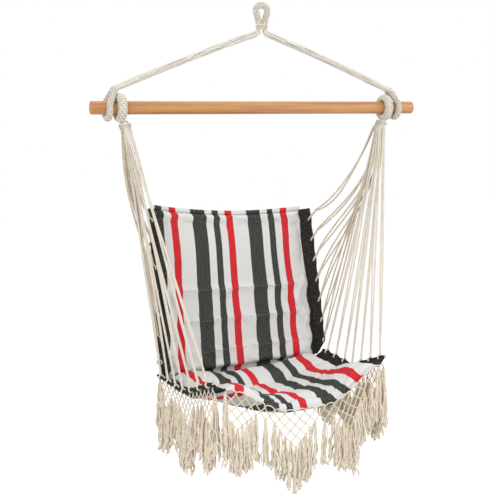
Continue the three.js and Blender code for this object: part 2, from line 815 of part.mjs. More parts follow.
// The edge rope's centre and direction at a place in a hem, in the bar's frame
function hemPlace(group, panel, side, share) {
  const frames = hemFrames(panel, side);
  const next = frames.findIndex((frame) => frame.share > share);
  const [before, after] = [frames[next - 1], frames[next]];
  const centre = (frame) => frame.origin.clone().addScaledVector(frame.across, frame.ropeAt);
  const from = group.localToWorld(centre(before));
  const to = group.localToWorld(centre(after));
  const part = (share - before.share) / (after.share - before.share);
  return { centre: from.clone().lerp(to, part), ahead: to.clone().sub(from).normalize() };
}

// One pair: two cords from the seizing that meet at a twisted stem, which holds the eyelet
function cordPair(name, side, order, place, slack) {
  const row = (order - (cordPairs - 1) / 2) * cordRowPitch;
  const column = ((order % 2) - 1 / 2) * cordColumnPitch;
  const foot = seizingFoot(side);
  foot.y -= row;
  foot.z -= gap;
  const pull = foot.clone().sub(place.centre).normalize();
  const slanted = Math.abs(pull.dot(place.ahead));
  const square = Math.sqrt(1 - slanted * slanted);
  const clear = (hemRound + gap + (stemDiameter / 2) * slanted) / square;
  const stemFoot = place.centre.clone().addScaledVector(pull, clear);
  const stemHead = stemFoot.clone().addScaledVector(pull, stemLength);
  const stem = loft(circle(stemDiameter / 2, cordSides), framesThrough([stemFoot, stemHead], rightward));
  let pair = toManifold(stem);
  for (const twin of [-1, 1]) {
    const start = foot.clone();
    start.x += side * (column + (twin * twinPitch) / 2);
    const end = stemHead.clone().addScaledVector(pull, -stemDiameter / 2);
    end.addScaledVector(place.ahead, (twin * cordDiameter) / 4);
    const points = [];
    for (let i = 0; i <= cordSteps; i++) {
      const t = i / cordSteps;
      const at = start.clone().lerp(end, t);
      at.z -= slack * sag(t);
      at.addScaledVector(place.ahead, twin * pairSpread * bow(t));
      points.push(at);
    }
    const frames = framesThrough(points, rightward);
    frames[0] = { ...frames[0], across: rearward, upward: rightward }; // cut level at the seizing
    pair = pair.add(toManifold(loft(circle(cordDiameter / 2, cordSides), frames)));
  }
  return piece(name, fromManifold(pair), 'cotton');
}

// The cords of one side fan from the seizing without crossing: the rearmost goes to the top of
// the back, and the foremost to the front corner of the seat.
function sideCords(backGroup, seatGroup, side) {
  const cords = [];
  for (let i = 0; i < cordsAlongBack; i++) {
    const place = hemPlace(backGroup, backPanel, side, 1 - eyeletShare(i, cordsAlongBack));
    const slack = cordSlack * (1 - i / (cordsAlongBack - 1)) ** slackPower;
    cords.push(cordPair(`back_cord_${sideName(side)}_${i + 1}`, side, i, place, slack));
  }
  for (let i = 0; i < cordsAlongSeat; i++) {
    const place = hemPlace(seatGroup, seatPanel, side, eyeletShare(i, cordsAlongSeat));
    cords.push(cordPair(`seat_cord_${sideName(side)}_${i + 1}`, side, cordsAlongBack + i, place, 0));
  }
  return cords;
}

// Sling: back and seat meet at the crease, and the whole hangs a little askew
function sling() {
  const group = new THREE.Group();
  group.position.set(creaseX, creaseY, -creaseDrop);
  group.rotation.y = slingTilt;
  const backGroup = back();
  const seatGroup = seat();
  group.add(backGroup, seatGroup);
  group.updateMatrixWorld(true);
  const cords = [-1, 1].flatMap((side) => sideCords(backGroup, seatGroup, side));
  return [group, ...cords];
}

const onBar = new THREE.Group(); // set out from the middle of the bar's axis
onBar.position.z = -barDrop;
onBar.add(spreaderBar(), ...sling());
for (const side of [-1, 1]) onBar.add(ropeLeg(side), legEye(side), clewRing(side), clewSeizing(side));

const chair = new THREE.Group();
chair.add(hangLoop(), throatSeizing(), onBar);

export default chair;
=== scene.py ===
import math
import random

import bmesh
import bpy
from mathutils import Matrix, Vector, noise


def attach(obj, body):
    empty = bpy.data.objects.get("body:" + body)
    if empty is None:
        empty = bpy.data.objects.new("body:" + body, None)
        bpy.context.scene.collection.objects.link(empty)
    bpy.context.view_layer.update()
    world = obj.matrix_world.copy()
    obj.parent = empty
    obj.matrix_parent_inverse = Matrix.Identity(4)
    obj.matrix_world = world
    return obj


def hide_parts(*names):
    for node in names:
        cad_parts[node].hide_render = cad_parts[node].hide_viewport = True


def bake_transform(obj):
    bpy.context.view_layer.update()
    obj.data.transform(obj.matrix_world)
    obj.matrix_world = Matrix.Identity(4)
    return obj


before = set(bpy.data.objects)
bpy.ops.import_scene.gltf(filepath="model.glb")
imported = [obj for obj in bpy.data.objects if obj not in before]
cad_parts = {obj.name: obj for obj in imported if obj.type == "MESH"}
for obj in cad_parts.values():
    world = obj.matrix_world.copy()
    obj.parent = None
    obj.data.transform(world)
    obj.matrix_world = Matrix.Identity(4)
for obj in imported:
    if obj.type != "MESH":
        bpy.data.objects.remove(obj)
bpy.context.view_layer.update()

# Camera
# It stands ahead of the chair and to its left, as high as the bar, and looks a little down. Its
# lens gives the photograph's frame, which is square.
scene = bpy.context.scene
scene.view_settings.view_transform = "Standard"
sensor_width = 36
lens_widths = 1000 / 494  # focal length, in widths of the frame
camera_place = (-1.1711, -2.6472, -0.2721)
camera_turn = math.radians(23.043)
camera_dip = math.radians(8.047)
level = math.cos(camera_dip)
rearwards = Vector((-math.sin(camera_turn) * level, -math.cos(camera_turn) * level,
                    math.sin(camera_dip)))
sideways = Vector((-rearwards.y, rearwards.x, 0)).normalized()
upwards = rearwards.cross(sideways)


def linked(name, data):
    """A new object of the scene."""
    made = bpy.data.objects.new(name, data)
    scene.collection.objects.link(made)
    return made


lens = bpy.data.cameras.new("camera")
lens.sensor_width = sensor_width
lens.lens = sensor_width * lens_widths
camera = linked("camera", lens)
axes = Matrix((sideways, upwards, rearwards)).transposed()
camera.matrix_world = Matrix.Translation(camera_place) @ axes.to_4x4()
scene.camera = camera


# Floor, surround and lamps
# A pale studio: the chair hangs above a matt floor, the surround is white where it is seen, and
# large soft lamps light the chair evenly from ahead and above.
class Wire:
    """A socket of a node tree. Arithmetic on it adds Math nodes."""

    def __init__(self, tree, socket=None):
        self.tree = tree
        self.socket = socket

    def add(self, kind, settings=None, values=None, out=0):
        """Adds a node: first its settings, then the value or link of each socket. Gives one output."""
        node = self.tree.nodes.new(kind)
        for name, value in (settings or {}).items():
            if name == "stops":
                paint_ramp(node.color_ramp, value)
            else:
                setattr(node, name, value)
        for name, value in (values or {}).items():
            if isinstance(value, Wire):
                self.tree.links.new(value.socket, node.inputs[name])
            else:
                node.inputs[name].default_value = value
        return Wire(self.tree, node.outputs[out] if node.outputs else None)

    def also(self, out):
        """Another output of the same node."""
        return Wire(self.tree, self.socket.node.outputs[out])

    def maths(self, operation, *others):
        """A Math node on this and on other values."""
        operands = dict(enumerate((self, *others)))
        return self.add("ShaderNodeMath", {"operation": operation}, operands)

    def vector(self, operation, other=None, **named):
        """A Vector Math node on this, with its other sockets by name."""
        operands = {0: self, **named}
        if other is not None:
            operands[1] = other
        scalar = operation in ("DOT_PRODUCT", "LENGTH")
        settings = {"operation": operation}
        return self.add("ShaderNodeVectorMath", settings, operands, out=int(scalar))

    def scaled(self, by):
        return self.vector("SCALE", Scale=by)

    def mixed(self, colour, other):
        """One colour where this is 0, and the other where it is 1."""
        values = {0: self, 6: colour, 7: other}
        return self.add("ShaderNodeMix", {"data_type": "RGBA"}, values, out=2)

    def into(self, socket):
        """Links this to a socket of the shader."""
        self.tree.links.new(self.socket, socket)

    def stretched(self, *scale):
        """This place, scaled along each axis."""
        return self.add("ShaderNodeMapping", values={"Vector": self, "Scale": scale})

    def noise(self, scale=1, detail=2, **others):
        """Noise over this place. It is finer with its scale."""
        values = {"Vector": self, "Scale": scale, "Detail": detail, **others}
        return self.add("ShaderNodeTexNoise", values=values)

    def ranged(self, low, high):
        """0 up to low, 1 from high on, and a ramp between them."""
        values = {"Value": self, "From Min": low, "From Max": high}
        return self.add("ShaderNodeMapRange", values=values)

    def bump(self, strength, distance):
        """The surface's direction, tilted as this height says."""
        values = {"Height": self, "Strength": strength, "Distance": distance}
        return self.add("ShaderNodeBump", values=values)

    def __add__(self, other):
        return self.maths("ADD", other)

    def __sub__(self, other):
        return self.maths("SUBTRACT", other)

    def __mul__(self, other):
        return self.maths("MULTIPLY", other)

    def __truediv__(self, other):
        return self.maths("DIVIDE", other)

    def __gt__(self, other):
        return self.maths("GREATER_THAN", other)

    def __lt__(self, other):
        return self.maths("LESS_THAN", other)

    def __rsub__(self, other):
        return self * -1 + other

    __radd__ = __add__
    __rmul__ = __mul__


def paint_ramp(ramp, stops):
    """Sets the places and colours of a ramp's stops."""
    while len(ramp.elements) < len(stops):
        ramp.elements.new(1)
    for element, (place, colour) in zip(ramp.elements, stops):
        element.position = place
        element.color = colour


def paint(red, green, blue):
    """A colour as a screen shows it, each part from 0 to 255, made linear."""
    shares = [value / 255 for value in (red, green, blue)]
    return [s / 12.92 if s <= 0.04045 else ((s + 0.055) / 1.055) ** 2.4 for s in shares] + [1]


def mesh_object(name, points, faces, material=None, edges=()):
    """A smooth mesh from its points and faces, with one material or none."""
    mesh = bpy.data.meshes.new(name)
    mesh.from_pydata([tuple(p) for p in points], edges, faces)
    mesh.polygons.foreach_set("use_smooth", [True] * len(mesh.polygons))
    if material:
        mesh.materials.append(material)
    return linked(name, mesh)


def seen_directly(wire):
    """1 on rays from the camera, in gloss or through glass, and otherwise 0."""
    ray = wire.add("ShaderNodeLightPath", out="Is Camera Ray")
    seen = ray.maths("MAXIMUM", ray.also("Is Glossy Ray"))
    return seen.maths("MAXIMUM", ray.also("Is Transmission Ray"))


floor_height = -1.62
floor_reach = 9
floor_glow = 0.5
floor_corners = [(x * floor_reach, y * floor_reach, floor_height)
                 for x, y in ((-1, -1), (1, -1), (1, 1), (-1, 1))]
floor_paint = bpy.data.materials.new("floor_paint")
floor_paint.use_nodes = True
floor_paint.node_tree.nodes.clear()
studio = Wire(floor_paint.node_tree)
matt = studio.add("ShaderNodeBsdfDiffuse", values={"Color": paint(226, 226, 226)})
glow = studio.add("ShaderNodeEmission", values={"Strength": seen_directly(studio) * floor_glow})
studio.add("ShaderNodeOutputMaterial", values={
    "Surface": studio.add("ShaderNodeAddShader", values={0: matt, 1: glow})})
floor = mesh_object("floor", floor_corners, [(0, 1, 2, 3)], floor_paint)

surround_light = 0.68
surround = bpy.data.worlds.new("surround")
surround.use_nodes = True
surround.node_tree.nodes.clear()
studio = Wire(surround.node_tree)
strength = seen_directly(studio) * (1 - surround_light) + surround_light
studio.add("ShaderNodeOutputWorld", values={
    "Surface": studio.add("ShaderNodeBackground", values={
        "Color": paint(255, 255, 255), "Strength": strength})})
scene.world = surround


def soft_lamp(name, place, target, size, power):
    """A round area lamp, aimed at a target."""
    lamp = bpy.data.lights.new(name, "AREA")
    lamp.shape = "DISK"
    lamp.size = size
    lamp.energy = power
    aim = (Vector(target) - Vector(place)).to_track_quat("-Z", "Y")
    linked(name, lamp).matrix_world = Matrix.Translation(place) @ aim.to_matrix().to_4x4()


chair_middle = (0, 0, -0.75)
soft_lamp("lamp_ahead", (-2.4, -3.4, 1.3), chair_middle, size=2.2, power=72)
soft_lamp("lamp_right", (3.2, -1.8, 0.6), chair_middle, size=2.2, power=34)
soft_lamp("lamp_above", (0.4, 0.8, 2.6), chair_middle, size=2.0, power=24)


# The sling's shape
# Back and seat are one cloth that hangs from its side cords and meets itself at a crease. The
# pieces sewn to it are placed by how far along it and across it they are.
gap = 0.0003  # between pieces that touch
bar_height = -0.278
crease_place = (-0.009, 0.12, -1.072)
sling_tilt = math.radians(-2.5)
crease_width = 0.5
back_width = 0.476
back_length = 0.49
back_lean = math.radians(8.7)
back_cup = 0.014  # how far its sides are drawn forwards
top_sag = 0.015
top_slant = 0.021
front_width = 0.466
seat_length = 0.458
front_bow = 0.03
seat_sag = 0.048
corner_lift = 0.077
knee_share = 0.5  # where along the seat the lift of its corners starts
flat_share = 0.25  # of the half width, from the middle, that stays low
hem_width = 0.036
hem_thickness = 0.004
hem_round = 0.0043
hem_taper_length = 0.03
edge_rope = 0.005
sling = Matrix.Translation(crease_place) @ Matrix.Rotation(sling_tilt, 4, "Y")


def between(low, high, share):
    """Low where the share is 0 and high where it is 1."""
    return low + (high - low) * share


def eased(low, high, value):
    """0 below low, 1 above high, and a smooth step between them."""
    share = min(max((value - low) / (high - low), 0), 1)
    return share * share * (3 - 2 * share)


def back_surface(across, along):
    """The back's cloth, from the crease up: its sides stand forwards and its top edge sags."""
    half_width = between(crease_width, back_width, along) / 2
    cup = back_cup * across**2 * (1 - (1 - max(min(along, 1), 0)) ** 4)
    sag = top_sag * (1 - across**2) * along**4
    slant = top_slant * across * along
    return Vector((across * half_width, -cup, back_length * along - sag - slant))


def seat_surface(across, along):
    """The seat's cloth, from the crease forwards: low in the middle, with lifted front corners."""
    half_width = between(crease_width, front_width, along) / 2
    edge = eased(flat_share, 1, abs(across))
    low = -seat_sag * math.sin(math.pi * max(along, 0) ** 0.75)
    lift = corner_lift * max(0, (along - knee_share) / (1 - knee_share))
    ahead = -(seat_length - front_bow * across**2) * along
    return Vector((across * half_width, ahead, between(low, lift, edge)))


class Panel:
    """The back or the seat: a surface in its own frame, with what is sewn along its sides."""

    def __init__(self, name, surface, place, length, hem_turn, hem_setback, hem_end_share):
        self.name = name
        self.surface = surface
        self.place = place
        self.length = length
        self.hem_turn = math.radians(hem_turn)
        self.hem_setback = hem_setback
        self.hem_end_share = hem_end_share

    def directions(self, across, along):
        """Along the cloth, outwards past its side, and out towards the sitter, in its own frame."""
        step = 0.01
        near = max(along, 2 * step)
        ahead = (self.surface(across, near + step) - self.surface(across, near - step)).normalized()
        over = self.surface(across + step, near) - self.surface(across - step, near)
        out = over.cross(ahead).normalized()
        if out.y - out.z > 0:
            out.negate()
        outward = out.cross(ahead).normalized()
        if outward.x * across < 0:
            outward.negate()
        return ahead, outward, out

    def point(self, across, along, height=0):
        """A place at a height over the cloth, in the chair's frame."""
        place = self.surface(across, along)
        if height:
            place = place + self.directions(across, along)[2] * height
        return self.place @ place

    def hem_frame(self, side, share, extra=0):
        """The root of a side hem, the way across it, the way out of it and the way along it."""
        along = between(self.hem_setback / self.length, 1, share)
        ahead, outward, out = self.directions(side, along)
        across = outward * math.cos(self.hem_turn) + out * math.sin(self.hem_turn)
        upward = out * math.cos(self.hem_turn) - outward * math.sin(self.hem_turn)
        origin = self.surface(side, along) + outward * (gap + hem_thickness / 2) + ahead * extra
        turned = self.place.to_3x3()
        return self.place @ origin, turned @ across, turned @ upward, turned @ ahead

    def rope_at(self, share, extra=0):
        """How far out from a side hem's root its edge rope is: less near the crease."""
        reached = (self.length - self.hem_setback) * share + extra
        widened = min(reached / hem_taper_length, 1)
        return hem_width * between(self.hem_end_share, 1, widened) - hem_round


back_panel = Panel("back", back_surface, sling @ Matrix.Rotation(-back_lean, 4, "X"), back_length,
                   hem_turn=46, hem_setback=0.024, hem_end_share=0.5)
seat_panel = Panel("seat", seat_surface, sling, seat_length,
                   hem_turn=40, hem_setback=0.008, hem_end_share=1)


# Side cords
# Undyed cotton cord in three strands, doubled from the clew to each eyelet of a hem. A pair twists
# into one stem and goes round the hem's edge.
sides = ((-1, "left"), (1, "right"))
pairs_along_back = 7
pairs_along_seat = 7
eyelet_margin_share = 0.07  # from a hem's end to its first eyelet
cord_diameter = 0.0056
cord_lay = 0.017
cord_step = 0.0025
cord_groove = 0.2  # as a share of its radius
stem_length = 0.024
stem_turns = 1.25
eye_shift = -0.0065  # eyes and clews sit a little to the left on the bar
clew_reach = 0.412  # from the bar's middle
seizing_foot_inset = 0.016
seizing_foot_drop = 0.0598  # below the bar's axis
cord_row_pitch = 0.0029  # at the clew, from one pair to the next
cord_column_pitch = 0.011  # and between the two columns that the pairs take in turn
cord_hidden = 0.006  # how far a cord starts inside the seizing
half_twin_pitches = (0.0026, 0.0016, 0.0015)  # at the clew, at the stem's head and in the stem
top_cord_slack = 0.046
bunch_bow = 0.036  # how far forwards the back's cords keep to the bunch
pair_bows = (0.003, 0.006)  # the least and the most that a pair's two cords part
cord_drift = 0.012


def finish(name, plain):
    """A new material with its plain values. Gives it, its shader's sockets and a wire."""
    made = bpy.data.materials.new(name)
    made.use_nodes = True
    shader = made.node_tree.nodes["Principled BSDF"].inputs
    for socket, value in plain.items():
        shader[socket].default_value = value
    return made, shader, Wire(made.node_tree)


def cotton(name, bright, shaded, grain):
    """Undyed cotton: fine fibres, browner in patches, and painted shade in the valleys between the
    strands.
    """
    made, shader, wire = finish(name, {
        "Specular IOR Level": 0.2, "Sheen Weight": 0.25, "Sheen Roughness": 0.6})
    place = wire.add("ShaderNodeTexCoord", out="Object")
    fibres = place.noise(grain, 4)
    mottle = (place.noise(38, 3) * 0.55 + fibres * 0.45).maths("SMOOTH_MIN", 1, 0.1)
    tone = mottle.ranged(0.36, 0.6).mixed(paint(*shaded), paint(*bright))
    # Painted shade: where a cord is marked as sunk, between its strands or against its core, its
    # colour is darkened towards a shade brown.
    sunk = wire.add("ShaderNodeAttribute", {"attribute_name": "sunk"}, out="Fac")
    (sunk * 0.5).mixed(tone, paint(180, 157, 126)).into(shader["Base Color"])
    (fibres * 0.16 + 0.8).into(shader["Roughness"])
    fibres.bump(0.5, 0.0006).into(shader["Normal"])
    return made


cord_cotton = cotton("cord_cotton", (255, 251, 241), (246, 236, 217), 900)
# The back's cords use a darker, browner copy of the cotton: painted shade.
shaded_cotton = cotton("shaded_cotton", (240, 229, 211), (220, 203, 179), 900)


def geometry_tree(name, sizes):
    """A new tree with its sizes as named inputs. Gives a wire in it, and each input by name."""
    tree = bpy.data.node_groups.new(name, "GeometryNodeTree")
    tree.interface.new_socket("Geometry", in_out="INPUT", socket_type="NodeSocketGeometry")
    tree.interface.new_socket("Geometry", in_out="OUTPUT", socket_type="NodeSocketGeometry")
    for size, value in sizes.items():
        kind = {int: "Int", float: "Float", tuple: "Vector"}.get(type(value), "Material")
        socket = tree.interface.new_socket(size, in_out="INPUT", socket_type="NodeSocket" + kind)
        if kind != "Material":
            socket.default_value = value
    entry = tree.nodes.new("NodeGroupInput")
    return Wire(tree), {socket.name: Wire(tree, socket) for socket in entry.outputs if socket.name}


def finish_tree(wire, geometry, material):
    """Ends a tree: what it grew is made smooth and real, and gets its material."""
    smooth = wire.add("GeometryNodeSetShadeSmooth", values={"Geometry": geometry})
    real = wire.add("GeometryNodeRealizeInstances", values={"Geometry": smooth})
    worn = wire.add("GeometryNodeSetMaterial", values={"Geometry": real, "Material": material})
    wire.add("NodeGroupOutput", values={0: worn})
    return wire.tree


def grown(name, source, tree, **sizes):
    """The mesh that a tree grows on a source, as a plain object. The source is used up."""
    modifier = source.modifiers.new("growth", "NODES")
    modifier.node_group = tree
    for item in tree.interface.items_tree:
        size = item.name.lower()
        if item.in_out == "INPUT" and size in sizes:
            modifier[item.identifier] = sizes[size]
    seen = source.evaluated_get(bpy.context.evaluated_depsgraph_get())
    mesh = bpy.data.meshes.new_from_object(seen)
    mesh.name = name
    bpy.data.objects.remove(source)
    return linked(name, mesh)


def polylines(lines, closed=False):
    """A mesh of bare edges along rows of points."""
    points = []
    edges = []
    for line in lines:
        first = len(points)
        points.extend(line)
        edges.extend((first + i, first + i + 1) for i in range(len(line) - 1))
        if closed:
            edges.append((len(points) - 1, first))
    return mesh_object("path", points, [], edges=edges)


def marked(geometry, name, value, kind="FLOAT"):
    """Stores a value at each point of the geometry, under a name."""
    return geometry.add("GeometryNodeStoreNamedAttribute", {"data_type": kind, "domain": "POINT"},
                        {"Geometry": geometry, "Name": name, "Value": value})


def three_lobes(wire, radius, groove):
    """The section of a cord of three strands. Its valleys are marked for painted shade."""
    section = wire.add("GeometryNodeCurvePrimitiveCircle", {"mode": "RADIUS"},
                       {"Resolution": 9, "Radius": radius})
    valley = wire.add("GeometryNodeInputIndex").maths("MODULO", 3) < 0.5
    place = wire.add("GeometryNodeInputPosition").scaled(1 - valley * groove)
    section = wire.add("GeometryNodeSetPosition", values={"Geometry": section, "Position": place})
    # Painted shade: the valleys are stored as the mask that darkens the cotton there.
    return marked(section, "sunk", valley)


def laid_cord_tree():
    """Sweeps a three-lobed section along each path and twists it, as strands are laid into cord."""
    wire, sizes = geometry_tree("laid_cord", {
        "Diameter": cord_diameter, "Lay": cord_lay, "Step": cord_step, "Groove": cord_groove,
        "Material": cord_cotton})
    path = wire.add("GeometryNodeMeshToCurve", values={"Mesh": sizes["Geometry"]})
    path = wire.add("GeometryNodeResampleCurve", {"mode": "LENGTH"},
                    {"Curve": path, "Length": sizes["Step"]})
    length = wire.add("GeometryNodeSplineParameter", out="Length")
    twist = length / sizes["Lay"] * math.tau
    path = wire.add("GeometryNodeSetCurveTilt", values={"Curve": path, "Tilt": twist})
    section = three_lobes(wire, sizes["Diameter"] / 2, sizes["Groove"])
    skin = wire.add("GeometryNodeCurveToMesh", values={
        "Curve": path, "Profile Curve": section, "Fill Caps": True})
    return finish_tree(wire, skin, sizes["Material"])


laid_cord = laid_cord_tree()


def clew_foot(side):
    """The middle of the foot of the clew's seizing, where its cords come out."""
    reach = side * (clew_reach - seizing_foot_inset) + eye_shift
    return Vector((reach, 0, bar_height - seizing_foot_drop))


def eyelet(panel, side, share):
    """Where a pair of cords goes round a hem's edge rope, and the way along the hem there."""
    origin, across, upward, ahead = panel.hem_frame(side, share)
    return origin + across * panel.rope_at(share), ahead


def doubled_cord(side, order, centre, ahead, loose, slack=0, gathered=0):
    """The paths of a pair of cords from the clew to one eyelet, and the head of their stem."""
    foot = clew_foot(side)
    foot.y -= (order - (pairs_along_back + pairs_along_seat - 1) / 2) * cord_row_pitch
    column = (order % 2 - 0.5) * cord_column_pitch
    pull = (foot - centre).normalized()
    flat = (ahead - pull * ahead.dot(pull)).normalized()
    over = pull.cross(flat)
    forward = (pull * pull.z - Vector((0, 0, 1))).normalized()
    clear = hem_round + cord_diameter / 2
    head = centre + pull * (clear + stem_length)
    at_clew, at_head, in_stem = half_twin_pitches
    paths = []
    for twin in (-1, 1):
        start = foot + Vector((side * (column + twin * at_clew), 0, cord_hidden))
        end = head + flat * twin * at_head
        path = []  # from the clew, down the stem and round the edge rope
        for i in range(31):
            t = i / 30
            place = start.lerp(end, t)
            place.z -= slack * 4 * t * (1 - t)
            place += forward * gathered * 6.75 * t * (1 - t) ** 2
            place += flat * twin * loose * 6.75 * t * t * (1 - t)
            drift = Vector([noise.noise(Vector((t * 2.2, order * 1.7, side + twin * 0.07 + way)))
                            for way in (3.3, 6.6, 9.9)])
            path.append(place + drift * cord_drift * t * (1 - t))
        for i in range(1, 13):
            t = i / 12
            angle = t * stem_turns * math.tau
            out = flat * math.cos(angle) + over * math.sin(angle)
            path.append(head - pull * stem_length * t + out * twin * in_stem)
        for i in range(1, 9):
            angle = i / 8 * 0.92 * math.pi
            out = pull * math.cos(angle) + over * twin * math.sin(angle)
            path.append(centre + out * clear)
        paths.append(path)
    return paths, head


def eyelet_share(index, count):
    """How far along a hem an eyelet is."""
    return between(eyelet_margin_share, 1 - eyelet_margin_share, index / (count - 1))


drawn = random.Random(3)
for side, side_name in sides:
    for i in range(pairs_along_back):
        centre, ahead = eyelet(back_panel, side, 1 - eyelet_share(i, pairs_along_back))
        tight = i / (pairs_along_back - 1)
        slack = top_cord_slack * (1 - tight) ** 1.5
        gathered = bunch_bow * math.sin(math.pi * min(tight * 1.25, 1))
        loose = drawn.uniform(*pair_bows)
        paths, head = doubled_cord(side, i, centre, ahead, loose, slack, gathered)
        cord = grown(f"back_cord_{side_name}_{i + 1}", polylines(paths), laid_cord,
                     material=shaded_cotton)
        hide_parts(f"back_cord_{side_name}_{i + 1}")
        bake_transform(cord)
    for i in range(pairs_along_seat):
        centre, ahead = eyelet(seat_panel, side, eyelet_share(i, pairs_along_seat))
        loose = drawn.uniform(*pair_bows)
        paths, head = doubled_cord(side, pairs_along_back + i, centre, ahead, loose)
        cord = grown(f"seat_cord_{side_name}_{i + 1}", polylines(paths), laid_cord,
                     material=cord_cotton)
        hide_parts(f"seat_cord_{side_name}_{i + 1}")
        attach(cord, "seat")


# Spreader bar
# A turned hardwood rod, oiled, with its sawn ends eased. Its grain runs along it with short dark
# pores. It lies loose in its rope eyes and can roll there.
bar_length = 1.0
bar_radius = 0.018
bar_easing = 0.003  # rounding of the sawn ends
bar_end_flat = 0.011
bar_end_steps = 5
bar_sides = 64


def hardwood():
    """Oiled hardwood: grain drawn out along the bar, with short dark pores."""
    made, shader, wire = finish("oiled_hardwood", {})
    place = wire.add("ShaderNodeTexCoord", out="Object")
    figure = place.stretched(1.6, 60, 60).noise(1.6, 5, Roughness=0.62, Distortion=0.35)
    pore = place.stretched(22, 900, 900).noise().ranged(0.6, 0.72)
    tone = wire.add("ShaderNodeValToRGB", {"stops": [
        (0.3, paint(168, 110, 64)), (0.46, paint(192, 134, 83)),
        (0.58, paint(206, 149, 95)), (0.72, paint(215, 161, 108))]}, {"Fac": figure})
    (pore * 0.45).mixed(tone, paint(138, 88, 52)).into(shader["Base Color"])
    (figure * 0.18 + pore * 0.2 + 0.34).into(shader["Roughness"])
    (figure * 0.4 - pore * 0.6).bump(0.35, 0.0004).into(shader["Normal"])
    return made


def swept(name, outlines, material, closed=False):
    """A skin over rows of points, each row a ring, shut at both ends or joined end to start."""
    points = [point for ring in outlines for point in ring]
    count = len(outlines[0])
    rows = len(outlines)
    faces = []
    for row in range(rows if closed else rows - 1):
        here, there = row * count, (row + 1) % rows * count
        for i in range(count):
            j = (i + 1) % count
            faces.append((here + i, here + j, there + j, there + i))
    if not closed:
        faces.append(tuple(reversed(range(count))))
        faces.append(tuple(range((rows - 1) * count, rows * count)))
    made = mesh_object(name, points, faces, material)
    face_outwards(made)
    return made


def face_outwards(made):
    """Turns all faces of a shell outwards."""
    work = bmesh.new()
    work.from_mesh(made.data)
    bmesh.ops.recalc_face_normals(work, faces=work.faces)
    work.to_mesh(made.data)
    work.free()


def ring(centre, across, upward, count):
    """Points round an ellipse, from its middle and its two half axes."""
    angles = [math.tau * i / count for i in range(count)]
    return [centre + across * math.cos(a) + upward * math.sin(a) for a in angles]


bar_end = [(0, bar_end_flat)]
for i in range(bar_end_steps + 1):
    angle = i / bar_end_steps * math.pi / 2
    bar_end.append((bar_easing * (1 - math.cos(angle)),
                    bar_radius - bar_easing * (1 - math.sin(angle))))
bar_profile = bar_end + [(bar_length * share, bar_radius) for share in (0.25, 0.5, 0.75)]
bar_profile += [(bar_length - x, radius) for x, radius in reversed(bar_end)]
bar_rings = []
for x, radius in bar_profile:
    centre = Vector((x - bar_length / 2, 0, bar_height))
    bar_rings.append(ring(centre, Vector((0, radius, 0)), Vector((0, 0, radius)), bar_sides))
bar = swept("spreader_bar_turned", bar_rings, hardwood())
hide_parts("spreader_bar")
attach(bar, "bar")


# Hang loop, throat, eyes and clews
# Cotton rope served all over: a core with thin laid cord wound tightly round it, two cords side by
# side. The throat and the clews are lashed with one such cord, and the clews have a knot.
rightward = Vector((1, 0, 0))
rearward = Vector((0, 1, 0))
winding_cord = 0.0042
winding_groove = 0.24
core_overhang = 0.0009  # how far an open core stands out of its winding
core_sides = 20
loop_rope = 0.019
loop_hole_width = 0.018
loop_height = 0.044  # from the hook's place down to the foot of the loop
loop_leg_x = 0.0098
throat_height = 0.014
throat_width = 0.037
throat_depth = 0.025
throat_cord = 0.0035
leg_rope = 0.019
leg_eye_rise = 0.052  # from the bar's axis up to the eye's crown
leg_eye_crown = 0.0105
leg_eye_reach = 0.447
leg_eye_inset = 0.0225  # how far inwards of the bar's eye its crown stands
clew_radius = 0.029
clew_rope = 0.021
clew_width = 0.028
seizing_height = 0.0195
seizing_lean = 0.008
seizing_width = 0.03
seizing_depth = 0.044
knot_reach = 0.0165  # from the seizing's middle to its knot's
knot_depth = 0.0028
knot_width = 0.0023
rope_cotton = cotton("rope_cotton", (255, 254, 247), (247, 240, 224), 1100)


